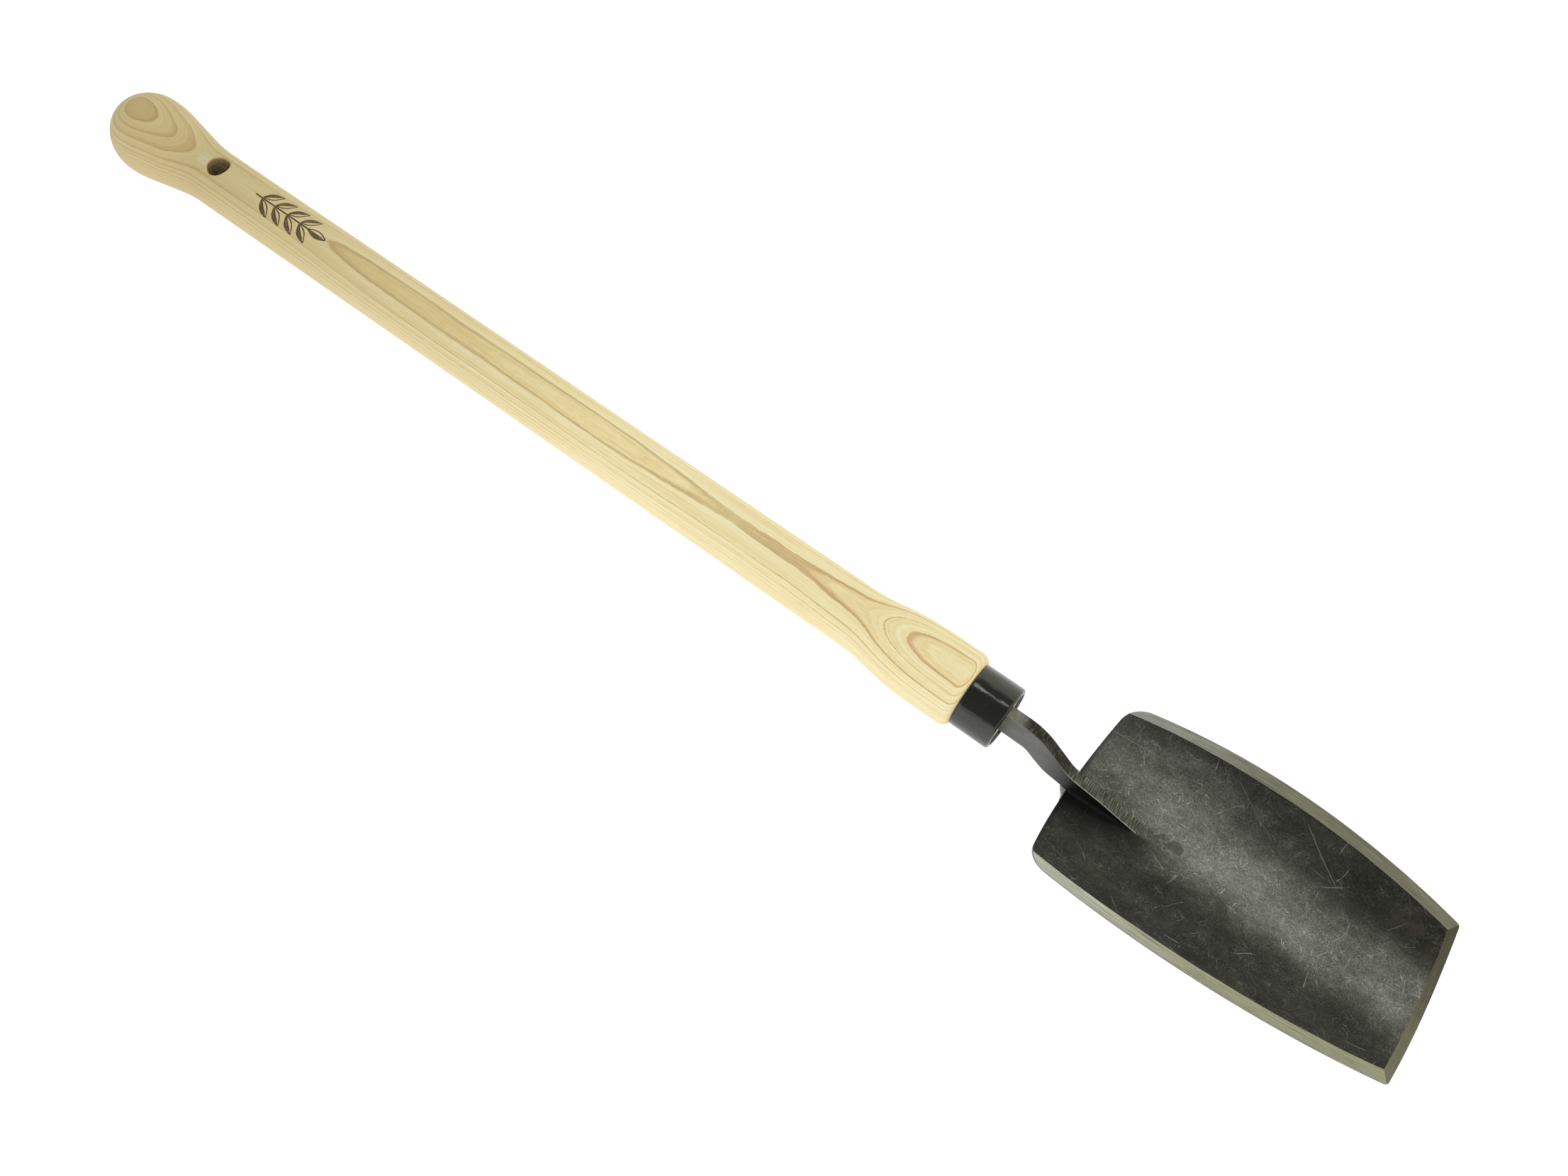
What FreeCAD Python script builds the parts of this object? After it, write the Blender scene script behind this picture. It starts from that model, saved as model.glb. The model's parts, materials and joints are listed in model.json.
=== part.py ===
import FreeCAD, Part
import math
import os
from collections import namedtuple

import Sketcher

# A long-handled planting spade that lies with its handle level and the hollow of the blade facing up.
# +X runs along the handle from the knob to the blade, +Z is up, and the origin is on the ground below
# the middle of the tool. Lengths are in millimetres and angles in degrees.
SIZES = {
    # whole tool
    "overall_length": 746.4,
    "wood_length": 530.8,
    # handle: a ball end that swells down to the shaft, then a flare with a rounded shoulder
    "knob_radius": 21.0,
    "swell_radius": 60.0,
    "swell_angle": 10.9,
    "neck_in_radius": 85.0,
    "shaft_radius": 14.45,
    "flare_in_radius": 85.0,
    "flare_out_radius": 147.0,
    "flare_radius": 18.0,
    "flare_land": 19.3,
    "shoulder_radius": 4.5,
    "spigot_radius": 13.0,
    "spigot_length": 18.0,
    "bore_radius": 6.0,
    "bore_depth": 94.0,
    "drill_angle": 31.0,
    "hang_hole_x": 75.3,
    "hang_hole_diameter": 11.5,
    "handle_turn": 10.5,
    # ferrule: a short sleeve on the spigot
    "ferrule_radius": 15.0,
    "ferrule_length": 19.4,
    "ferrule_round": 1.6,
    # bar: tang, neck and fin in one piece of flat steel that stands on edge
    "bar_thickness": 6.0,
    "tang_length": 90.0,
    "tang_root_half": 5.0,
    "tang_tip_half": 2.0,
    "neck_top_z": 6.9,
    "neck_bottom_z": -5.75,
    "crest_bend_x": 34.55,
    "crest_bend_radius": 28.0,
    "heel_bend_x": 53.95,
    "heel_bend_z": -5.3,
    "heel_bend_radius": 18.0,
    "fin_knee_x": 69.5,
    "fin_knee_z": -7.5,
    "fin_end_x": 90.5,
    "fin_end_z": -11.9,
    "throat_bend_x": 31.65,
    "throat_bend_radius": 10.0,
    "belly_bend_x": 42.65,
    "belly_bend_z": -11.9,
    "belly_bend_radius": 14.0,
    "toe_x": 57.0,
    "toe_z": -14.6,
    # blade: a plate rolled round an axis that runs along it, ground on three edges
    "blade_x": 55.6,
    "blade_z": -13.7,
    "blade_pitch": 3.6,
    "blade_length": 160.3,
    "plate_thickness": 2.0,
    "dish_radius": 105.0,
    "rear_edge_radius": 310.0,
    "rear_half_width": 46.5,
    "side_edge_radius": 378.0,
    "front_edge_radius": 262.0,
    "front_half_width": 40.3,
    "bevel_width": 5.6,
    "bevel_depth": 1.6,
    "rear_corner_radius": 12.0,
    "front_corner_radius": 2.2,
    # welds
    "rear_weld_reach": 3.4,
    "rear_weld_half_width": 8.6,
    "root_weld_leg": 1.5,
    "root_weld_length": 24.0,
}

SHEET = "Sizes"
OVERLAP = 1.0          # how far a cut-back piece starts inside its neighbour, mm
ORIGIN = (-1, 1)       # a sketch's own origin, as a geometry number and a point number
H_AXIS = -1
V_AXIS = -2
START, END, CENTRE = 1, 2, 3

Stroke = namedtuple("Stroke", "number first last")
Corner = namedtuple("Corner", "x x_formula y y_formula")

doc = FreeCAD.newDocument("garden_spade")


# ---------------------------------------------------------------- spreadsheet and small helpers

def make_sheet():
    """Puts every driving dimension in the spreadsheet, one named cell per row."""
    sheet = doc.addObject("Spreadsheet::Sheet", SHEET)
    for row, (name, value) in enumerate(SIZES.items(), start=1):
        sheet.set(f"A{row}", name)
        sheet.set(f"B{row}", str(value))
        sheet.setAlias(f"B{row}", name)
    doc.recompute()
    return sheet


sheet = make_sheet()


def size(name):
    """One driving dimension, read back from the spreadsheet."""
    return float(getattr(sheet, name))


def cell(formula):
    """Turns the sheet names in a formula into references, such as knob_radius to Sizes.knob_radius."""
    words = formula.split(" ")
    return " ".join(f"{SHEET}.{word}" if word in SIZES else word for word in words)


def bind(thing, **formulas):
    """Binds properties of a document object to formulas of sheet names."""
    for prop, formula in formulas.items():
        thing.setExpression(prop, cell(formula))


def place(thing, x, z="knob_radius", turn_x=None, turn_y=None):
    """Binds where a sub-part sits: x and z are formulas, and a turn is about X or Y."""
    thing.setExpression("Placement.Base.x", cell(f"( {x} ) * 1 mm"))
    thing.setExpression("Placement.Base.z", cell(f"( {z} ) * 1 mm"))
    if turn_x:
        thing.Placement.Rotation = FreeCAD.Rotation(FreeCAD.Vector(1, 0, 0), 1)
        thing.setExpression("Placement.Rotation.Angle", cell(f"( {turn_x} ) * 1 deg"))
    if turn_y:
        thing.Placement.Rotation = FreeCAD.Rotation(FreeCAD.Vector(0, 1, 0), 1)
        thing.setExpression("Placement.Rotation.Angle", cell(f"( {turn_y} ) * 1 deg"))


def new_body(label):
    body = doc.addObject("PartDesign::Body", f"{label}_body")
    body.Label = label
    return body


def new_sketch(body, name, plane):
    """A sketch on one of the body's own origin planes."""
    sketch = body.newObject("Sketcher::SketchObject", name)
    support = [item for item in body.Origin.OriginFeatures if item.Role == plane]
    sketch.AttachmentSupport = [(support[0], "")]
    sketch.MapMode = "FlatFace"
    return sketch


def point(x, y):
    return FreeCAD.Vector(x, y, 0)


def line(sketch, start, end):
    number = sketch.addGeometry(Part.LineSegment(point(*start), point(*end)), False)
    return Stroke(number, START, END)


def arc(sketch, start, middle, end):
    """An arc through three points. A sketch stores arcs anticlockwise, so its ends may swap."""
    through = Part.Arc(point(*start), point(*middle), point(*end)).toShape().Curve
    centre = through.Center
    first = math.atan2(start[1] - centre.y, start[0] - centre.x)
    last = math.atan2(end[1] - centre.y, end[0] - centre.x)
    circle = Part.Circle(centre, FreeCAD.Vector(0, 0, 1), through.Radius)
    if through.Axis.z > 0:
        return Stroke(sketch.addGeometry(Part.ArcOfCircle(circle, first, last), False), START, END)
    return Stroke(sketch.addGeometry(Part.ArcOfCircle(circle, last, first), False), END, START)


def fix(sketch, kind, *places):
    sketch.addConstraint(Sketcher.Constraint(kind, *places))


def drive(sketch, kind, *places, value, formula):
    """Adds a dimension to a sketch and binds it to the sheet."""
    index = sketch.addConstraint(Sketcher.Constraint(kind, *places, value))
    sketch.setExpression(f"Constraints[{index}]", cell(formula))


def close_loop(sketch, strokes, smooth_after=()):
    """Joins strokes end to end in a loop, tangent after each stroke in smooth_after."""
    for stroke, following in zip(strokes, strokes[1:] + strokes[:1]):
        kind = "Tangent" if stroke in smooth_after else "Coincident"
        fix(sketch, kind, stroke.number, stroke.last, following.number, following.first)


def freeze(sketch, strokes):
    """Holds strokes where they were drawn."""
    for stroke in strokes:
        fix(sketch, "Block", stroke.number)


def polygon(sketch, corners):
    """A closed outline of straight lines through corners, with each coordinate bound."""
    strokes = [
        line(sketch, (first.x, first.y), (second.x, second.y))
        for first, second in zip(corners, corners[1:] + corners[:1])
    ]
    close_loop(sketch, strokes)
    for stroke, place_of in zip(strokes, corners):
        drive(sketch, "DistanceX", *ORIGIN, stroke.number, START,
              value=place_of.x, formula=place_of.x_formula)
        drive(sketch, "DistanceY", *ORIGIN, stroke.number, START,
              value=place_of.y, formula=place_of.y_formula)


def corner(x_formula, y_formula):
    """A polygon corner whose two coordinates are formulas of sheet names."""
    return Corner(formula_value(x_formula), x_formula, formula_value(y_formula), y_formula)


def formula_value(formula):
    """The value of a formula made of sheet names, numbers, + and - only."""
    total = 0.0
    sign = 1.0
    for word in formula.split(" "):
        if word in ("+", "-"):
            sign = 1.0 if word == "+" else -1.0
        else:
            total += sign * (size(word) if word in SIZES else float(word))
    return total


def edges_where(shape, test):
    """Names of the edges whose middle point passes a test."""
    names = []
    for index, edge in enumerate(shape.Edges, start=1):
        middle = edge.valueAt((edge.FirstParameter + edge.LastParameter) / 2)
        if test(middle):
            names.append(f"Edge{index}")
    return names


def must_shrink(before, feature):
    """Stops if a cut took nothing away."""
    doc.recompute()
    if feature.Shape.Volume > before - 1e-3:
        raise RuntimeError(f"{feature.Name} cut nothing")


def revolve(body, outline, name):
    """Turns an outline once round its sketch's horizontal axis."""
    turned = body.newObject("PartDesign::Revolution", name)
    turned.Profile = outline
    turned.ReferenceAxis = (outline, ["H_Axis"])
    turned.Angle = 360
    doc.recompute()
    return turned


def cut_through(body, outline, name, before):
    """Cuts an outline right through the body, both ways from its sketch."""
    pocket = body.newObject("PartDesign::Pocket", name)
    pocket.Profile = outline
    pocket.SideType = "Symmetric"
    pocket.Type = "ThroughAll"
    must_shrink(before.Shape.Volume, pocket)
    return pocket


def cut_back(piece, neighbours, label):
    """Takes the neighbours' shapes out of a piece, so that they meet face to face."""
    doc.recompute()
    for index, neighbour in enumerate(neighbours):
        cut = doc.addObject("Part::Cut", f"{label}_cut_{index}")
        cut.Base = piece
        cut.Tool = neighbour
        must_shrink(piece.Shape.Volume, cut)
        piece = cut
    piece.Label = label
    return piece


# ---------------------------------------------------------------- handle

def on_arc(centre, radius, angle):
    """A point on an arc, with its angle measured from straight above the centre towards +X."""
    return centre[0] + radius * math.sin(angle), centre[1] + radius * math.cos(angle)


def draw_handle_outline(sketch):
    """Half of the turned outline, from the tip of the knob to the end of the spigot and back."""
    knob = size("knob_radius")
    swell = size("swell_radius")
    slope = math.radians(size("swell_angle"))
    hollow = size("neck_in_radius")
    shaft = size("shaft_radius")
    flare_in = size("flare_in_radius")
    flare_out = size("flare_out_radius")
    flare = size("flare_radius")
    shoulder = size("shoulder_radius")
    wood = size("wood_length")
    spigot = size("spigot_radius")
    spigot_end = wood + size("spigot_length")
    bore = size("bore_radius")
    bore_end = spigot_end - size("bore_depth")
    drill_point = bore * math.tan(math.radians(size("drill_angle")))

    swell_centre = (knob, knob - swell)
    swell_end = on_arc(swell_centre, swell, slope)
    hollow_start_r = shaft + hollow * (1 - math.cos(slope))
    hollow_start = (swell_end[0] + (swell_end[1] - hollow_start_r) / math.tan(slope), hollow_start_r)
    hollow_centre = (hollow_start[0] + hollow * math.sin(slope), shaft + hollow)
    flare_slope = math.acos(1 - (flare - shaft) / (flare_in + flare_out))
    land_start = (wood - size("flare_land"), flare)
    crown_centre = (land_start[0], flare - flare_out)
    crown_start = on_arc(crown_centre, flare_out, -flare_slope)
    rise_centre = (crown_start[0] - flare_in * math.sin(flare_slope), shaft + flare_in)
    shoulder_centre = (wood - shoulder, flare - shoulder)

    ball = arc(sketch, (0, 0), on_arc((knob, 0), knob, math.radians(-45)), (knob, knob))
    swelling = arc(sketch, (knob, knob), on_arc(swell_centre, swell, slope / 2), swell_end)
    cone = line(sketch, swell_end, hollow_start)
    cove = arc(sketch, hollow_start, on_arc(hollow_centre, -hollow, slope / 2),
               (hollow_centre[0], shaft))
    shaft_line = line(sketch, (hollow_centre[0], shaft), (rise_centre[0], shaft))
    rise = arc(sketch, (rise_centre[0], shaft), on_arc(rise_centre, -flare_in, -flare_slope / 2),
               crown_start)
    crown = arc(sketch, crown_start, on_arc(crown_centre, flare_out, -flare_slope / 2), land_start)
    land = line(sketch, land_start, (wood - shoulder, flare))
    edge = arc(sketch, (wood - shoulder, flare), on_arc(shoulder_centre, shoulder, math.radians(45)),
               (wood, flare - shoulder))
    face = line(sketch, (wood, flare - shoulder), (wood, spigot))
    spigot_line = line(sketch, (wood, spigot), (spigot_end, spigot))
    end_face = line(sketch, (spigot_end, spigot), (spigot_end, bore))
    bore_line = line(sketch, (spigot_end, bore), (bore_end, bore))
    drill_line = line(sketch, (bore_end, bore), (bore_end - drill_point, 0))
    axis = line(sketch, (bore_end - drill_point, 0), (0, 0))

    close_loop(
        sketch,
        [ball, swelling, cone, cove, shaft_line, rise, crown, land, edge, face, spigot_line,
         end_face, bore_line, drill_line, axis],
        smooth_after=[ball, swelling, cone, cove, shaft_line, rise, crown, land, edge])
    fix(sketch, "Coincident", ball.number, ball.first, *ORIGIN)
    fix(sketch, "PointOnObject", ball.number, CENTRE, H_AXIS)
    fix(sketch, "Vertical", ball.number, CENTRE, ball.number, ball.last)
    for stroke in (shaft_line, land, spigot_line, bore_line, axis):
        fix(sketch, "Horizontal", stroke.number)
    for stroke in (face, end_face):
        fix(sketch, "Vertical", stroke.number)
    for stroke, name in (
            (ball, "knob_radius"), (swelling, "swell_radius"), (cove, "neck_in_radius"),
            (rise, "flare_in_radius"), (crown, "flare_out_radius"), (edge, "shoulder_radius")):
        drive(sketch, "Radius", stroke.number, value=size(name), formula=name)
    for stroke, name in (
            (shaft_line, "shaft_radius"), (land, "flare_radius"),
            (spigot_line, "spigot_radius"), (bore_line, "bore_radius")):
        drive(sketch, "DistanceY", *ORIGIN, stroke.number, START, value=size(name), formula=name)
    drive(sketch, "Angle", cone.number, END, H_AXIS, END, value=slope,
          formula="swell_angle * 1 deg")
    drive(sketch, "DistanceX", land.number, START, face.number, START,
          value=size("flare_land"), formula="flare_land")
    drive(sketch, "DistanceX", *ORIGIN, face.number, START, value=wood, formula="wood_length")
    drive(sketch, "DistanceX", spigot_line.number, START, spigot_line.number, END,
          value=size("spigot_length"), formula="spigot_length")
    drive(sketch, "DistanceX", bore_line.number, END, bore_line.number, START,
          value=size("bore_depth"), formula="bore_depth")
    drive(sketch, "DistanceX", drill_line.number, END, drill_line.number, START,
          value=drill_point, formula="bore_radius * tan( drill_angle * 1 deg )")


def make_handle():
    """The turned ash handle with its hanging hole and the bore for the tang."""
    body = new_body("handle")
    outline = new_sketch(body, "handle_outline", "XZ_Plane")
    draw_handle_outline(outline)
    turned = revolve(body, outline, "turned_handle")

    hole_plan = new_sketch(body, "hang_hole_plan", "XY_Plane")
    hole_x = size("hang_hole_x")
    diameter = size("hang_hole_diameter")
    up = FreeCAD.Vector(0, 0, 1)
    circle = hole_plan.addGeometry(Part.Circle(point(hole_x, 0), up, diameter / 2), False)
    fix(hole_plan, "PointOnObject", circle, CENTRE, H_AXIS)
    drive(hole_plan, "DistanceX", *ORIGIN, circle, CENTRE, value=hole_x, formula="hang_hole_x")
    drive(hole_plan, "Diameter", circle, value=diameter, formula="hang_hole_diameter")
    cut_through(body, hole_plan, "hang_hole", turned)
    place(body, "0 - overall_length / 2", turn_x="handle_turn")
    return body


# ---------------------------------------------------------------- ferrule

def make_ferrule():
    """The black sleeve that keeps the end of the handle from splitting."""
    body = new_body("ferrule")
    wall = new_sketch(body, "ferrule_wall", "XZ_Plane")
    polygon(wall, [
        corner("0", "spigot_radius"),
        corner("ferrule_length", "spigot_radius"),
        corner("ferrule_length", "ferrule_radius"),
        corner("0", "ferrule_radius"),
    ])
    sleeve = revolve(body, wall, "sleeve")

    def front_outer(middle):
        at_front = middle.x > size("ferrule_length") - 0.1
        at_outside = math.hypot(middle.y, middle.z) > size("ferrule_radius") - 0.1
        return at_front and at_outside

    rounded = body.newObject("PartDesign::Fillet", "front_edge")
    rounded.Base = (sleeve, edges_where(sleeve.Shape, front_outer))
    bind(rounded, Radius="ferrule_round")
    must_shrink(sleeve.Shape.Volume, rounded)
    place(body, "wood_length - overall_length / 2")
    return body


# ---------------------------------------------------------------- blade

def blade_corners():
    """Where the sharp rear and front corners on the +Y side would be, before they are rounded."""
    rear = size("rear_edge_radius")
    rear_half = size("rear_half_width")
    front = size("front_edge_radius")
    front_half = size("front_half_width")
    rear_x = rear - math.sqrt(rear ** 2 - rear_half ** 2)
    front_x = size("blade_length") - front + math.sqrt(front ** 2 - front_half ** 2)
    return (rear_x, rear_half), (front_x, front_half)


def side_edge():
    """The centre and the middle point of the arc that is the +Y side edge."""
    rear, front = blade_corners()
    radius = size("side_edge_radius")
    along = unit(front[0] - rear[0], front[1] - rear[1])
    half_chord = math.hypot(front[0] - rear[0], front[1] - rear[1]) / 2
    depth = math.sqrt(radius ** 2 - half_chord ** 2)
    centre_x = (rear[0] + front[0]) / 2 + depth * along[1]
    centre_y = (rear[1] + front[1]) / 2 - depth * along[0]
    middle = (centre_x - radius * along[1], centre_y + radius * along[0])
    return (centre_x, centre_y), middle


def unit(x, y):
    length = math.hypot(x, y)
    return x / length, y / length


def draw_plate_section(sketch):
    """The plate's section: two arcs round the same axis, wider than the blade will be."""
    dish = size("dish_radius")
    outer = dish + size("plate_thickness")
    half_formula = "rear_half_width + rear_corner_radius"
    half = formula_value(half_formula)

    def level(radius, across):
        return dish - math.sqrt(radius ** 2 - across ** 2)

    hollow_face = arc(sketch, (-half, level(dish, half)), (0, 0), (half, level(dish, half)))
    far_end = line(sketch, (half, level(dish, half)), (half, level(outer, half)))
    back_face = arc(sketch, (half, level(outer, half)), (0, dish - outer),
                    (-half, level(outer, half)))
    near_end = line(sketch, (-half, level(outer, half)), (-half, level(dish, half)))
    close_loop(sketch, [hollow_face, far_end, back_face, near_end])
    fix(sketch, "Vertical", far_end.number)
    fix(sketch, "Vertical", near_end.number)
    fix(sketch, "PointOnObject", hollow_face.number, CENTRE, V_AXIS)
    fix(sketch, "Coincident", hollow_face.number, CENTRE, back_face.number, CENTRE)
    drive(sketch, "DistanceY", *ORIGIN, hollow_face.number, CENTRE, value=dish,
          formula="dish_radius")
    drive(sketch, "Radius", hollow_face.number, value=dish, formula="dish_radius")
    drive(sketch, "Radius", back_face.number, value=outer, formula="dish_radius + plate_thickness")
    drive(sketch, "DistanceX", *ORIGIN, far_end.number, START, value=half, formula=half_formula)
    drive(sketch, "DistanceX", near_end.number, START, *ORIGIN, value=half, formula=half_formula)


def draw_blade_plan(sketch):
    """The plan of the blade inside a wide frame: four shallow arcs that all bulge outwards."""
    rear, front = blade_corners()
    side_middle = side_edge()[1]
    length = size("blade_length")
    rear_arc = arc(sketch, rear, (0, 0), (rear[0], -rear[1]))
    near_arc = arc(sketch, (rear[0], -rear[1]), (side_middle[0], -side_middle[1]),
                   (front[0], -front[1]))
    front_arc = arc(sketch, (front[0], -front[1]), (length, 0), front)
    far_arc = arc(sketch, front, side_middle, rear)
    close_loop(sketch, [rear_arc, near_arc, front_arc, far_arc])
    for stroke in (rear_arc, front_arc):
        fix(sketch, "PointOnObject", stroke.number, CENTRE, H_AXIS)
        fix(sketch, "Symmetric", stroke.number, START, stroke.number, END, H_AXIS)
    for stroke, name in (
            (rear_arc, "rear_edge_radius"), (near_arc, "side_edge_radius"),
            (front_arc, "front_edge_radius"), (far_arc, "side_edge_radius")):
        drive(sketch, "Radius", stroke.number, value=size(name), formula=name)
    for stroke, name in ((rear_arc, "rear_half_width"), (far_arc, "front_half_width")):
        drive(sketch, "DistanceY", *ORIGIN, stroke.number, stroke.first,
              value=size(name), formula=name)
    drive(sketch, "DistanceX", *ORIGIN, rear_arc.number, CENTRE,
          value=size("rear_edge_radius"), formula="rear_edge_radius")
    drive(sketch, "DistanceX", front_arc.number, CENTRE, *ORIGIN,
          value=size("front_edge_radius") - length, formula="front_edge_radius - blade_length")
    margin = "side_edge_radius"
    polygon(sketch, [
        corner(f"0 - {margin}", f"0 - {margin}"),
        corner(margin, f"0 - {margin}"),
        corner(margin, margin),
        corner(f"0 - {margin}", margin),
    ])


def draw_corner_offcut(sketch, end_centre_x, end_radius, rounding, side):
    """The sliver between a sharp blade corner and its rounding: an arc and two tangent lines.

    The rounding touches the end edge, whose arc is centred on the X axis, and the side edge.
    side is 1 for the +Y corner and -1 for its mirror image.
    """
    side_centre = side_edge()[0]
    end_reach = end_radius - rounding
    side_reach = size("side_edge_radius") - rounding
    gap_x = side_centre[0] - end_centre_x
    gap_y = side_centre[1]
    gap = math.hypot(gap_x, gap_y)
    along = (end_reach ** 2 - side_reach ** 2 + gap ** 2) / (2 * gap)
    across = math.sqrt(end_reach ** 2 - along ** 2)
    turn = 1 if gap_x > 0 else -1
    centre_x = end_centre_x + (along * gap_x - turn * across * gap_y) / gap
    centre_y = (along * gap_y + turn * across * gap_x) / gap
    to_end = unit(centre_x - end_centre_x, centre_y)
    to_side = unit(centre_x - side_centre[0], centre_y - side_centre[1])
    to_tip = unit(to_end[0] + to_side[0], to_end[1] + to_side[1])
    tip_reach = rounding / (to_tip[0] * to_end[0] + to_tip[1] * to_end[1])

    def at(direction, distance):
        return centre_x + distance * direction[0], side * (centre_y + distance * direction[1])

    curve = arc(sketch, at(to_end, rounding), at(to_tip, rounding), at(to_side, rounding))
    from_side = line(sketch, at(to_side, rounding), at(to_tip, tip_reach))
    to_start = line(sketch, at(to_tip, tip_reach), at(to_end, rounding))
    close_loop(sketch, [curve, from_side, to_start])
    freeze(sketch, [curve, from_side, to_start])


def make_blade():
    """The dished plate, cut to its plan, ground on the sides and front, with rounded corners."""
    body = new_body("blade")
    section = new_sketch(body, "plate_section", "YZ_Plane")
    section.AttachmentOffset = FreeCAD.Placement(FreeCAD.Vector(0, 0, -OVERLAP), FreeCAD.Rotation())
    draw_plate_section(section)
    plate = body.newObject("PartDesign::Pad", "rolled_plate")
    plate.Profile = section
    bind(plate, Length=f"blade_length + {2 * OVERLAP}")
    doc.recompute()

    plan = new_sketch(body, "blade_plan", "XY_Plane")
    draw_blade_plan(plan)
    trimmed = cut_through(body, plan, "cut_to_plan", plate)

    def ground_edge(middle):
        dish = size("dish_radius")
        on_hollow_face = abs(math.hypot(middle.y, middle.z - dish) - dish) < 1e-3
        return on_hollow_face and middle.x > size("rear_corner_radius")

    bevels = body.newObject("PartDesign::Chamfer", "ground_bevels")
    bevels.Base = (trimmed, edges_where(trimmed.Shape, ground_edge))
    bevels.ChamferType = "Two distances"
    bind(bevels, Size="bevel_width", Size2="bevel_depth")
    must_shrink(trimmed.Shape.Volume, bevels)

    offcuts = new_sketch(body, "corner_offcuts", "XY_Plane")
    rear = size("rear_edge_radius")
    front = size("front_edge_radius")
    for side in (1, -1):
        draw_corner_offcut(offcuts, rear, rear, size("rear_corner_radius"), side)
        draw_corner_offcut(offcuts, size("blade_length") - front, front,
                           size("front_corner_radius"), side)
    cut_through(body, offcuts, "rounded_corners", bevels)
    place_on_blade(body)
    return body


def place_on_blade(thing):
    """Sets a piece in the blade's own frame: the middle of its rear edge, tipped up at the front."""
    place(thing, "wood_length + blade_x - overall_length / 2", "knob_radius + blade_z",
          turn_y="0 - blade_pitch")


# ---------------------------------------------------------------- neck bar

def make_neck(blade):
    """One bar on edge: the tang in the handle, the S-shaped neck and the fin on the blade."""
    body = new_body("neck_bar")
    side_view = new_sketch(body, "neck_side_view", "XZ_Plane")
    polygon(side_view, [
        corner("spigot_length - tang_length", "tang_tip_half"),
        corner("spigot_length", "tang_root_half"),
        corner("spigot_length", "neck_top_z"),
        corner("crest_bend_x", "neck_top_z"),
        corner("heel_bend_x", "heel_bend_z"),
        corner("fin_knee_x", "fin_knee_z"),
        corner("fin_end_x", "fin_end_z"),
        corner("fin_end_x", f"fin_end_z - {OVERLAP}"),
        corner("toe_x", "toe_z"),
        corner("belly_bend_x", "belly_bend_z"),
        corner("throat_bend_x", "neck_bottom_z"),
        corner("spigot_length", "neck_bottom_z"),
        corner("spigot_length", "0 - tang_root_half"),
        corner("spigot_length - tang_length", "0 - tang_tip_half"),
    ])
    bar = body.newObject("PartDesign::Pad", "flat_bar")
    bar.Profile = side_view
    bar.SideType = "Symmetric"
    bind(bar, Length="bar_thickness")
    doc.recompute()

    bends = [
        ("crest_bend", "neck_top_z"),
        ("heel_bend", "heel_bend_z"),
        ("throat_bend", "neck_bottom_z"),
        ("belly_bend", "belly_bend_z"),
    ]
    for name, z_name in bends:

        def at_bend(middle):
            across = math.hypot(middle.x - size(f"{name}_x"), middle.z - size(z_name))
            return across < 0.01 and abs(middle.y) < 0.01

        bend = body.newObject("PartDesign::Fillet", name)
        bend.Base = (bar, edges_where(bar.Shape, at_bend))
        bind(bend, Radius=f"{name}_radius")
        doc.recompute()
        bar = bend
    place(body, "wood_length - overall_length / 2")
    return cut_back(body, [blade], "neck_tang")


def make_tang_adhesive(neck):
    """The resin that fills the bore round the tang."""
    plug = doc.addObject("Part::Cylinder", "resin_plug")
    bind(plug, Radius="bore_radius * 1 mm", Height="bore_depth * 1 mm")
    plug.Placement.Rotation = FreeCAD.Rotation(FreeCAD.Vector(0, 1, 0), 90)
    plug.setExpression("Placement.Base.x", cell(
        "( wood_length + spigot_length - bore_depth - overall_length / 2 ) * 1 mm"))
    plug.setExpression("Placement.Base.z", cell("knob_radius * 1 mm"))
    return cut_back(plug, [neck], "tang_adhesive")


# ---------------------------------------------------------------- welds

def make_rear_weld(blade, neck):
    """The bead between the underside of the neck and the rear edge of the blade."""
    body = new_body("rear_bead")
    plan = new_sketch(body, "rear_bead_plan", "XY_Plane")
    reach = size("rear_weld_reach")
    half = size("rear_weld_half_width")
    neck_half = size("bar_thickness") / 2
    hollow_x = -reach / 4
    hollow_y = neck_half + (half - neck_half) / 3
    strokes = [
        line(plan, (-reach, -neck_half), (-reach, neck_half)),
        arc(plan, (-reach, neck_half), (hollow_x, hollow_y), (0.0, half)),
        line(plan, (0.0, half), (OVERLAP, half)),
        line(plan, (OVERLAP, half), (OVERLAP, -half)),
        line(plan, (OVERLAP, -half), (0.0, -half)),
        arc(plan, (0.0, -half), (hollow_x, -hollow_y), (-reach, -neck_half)),
    ]
    close_loop(plan, strokes)
    freeze(plan, strokes)
    bead = body.newObject("PartDesign::Pad", "rear_bead_pad")
    bead.Profile = plan
    bead.Reversed = True
    bind(bead, Length="plate_thickness")
    place_on_blade(body)
    return cut_back(body, [blade, neck], "weld_rear")


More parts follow.
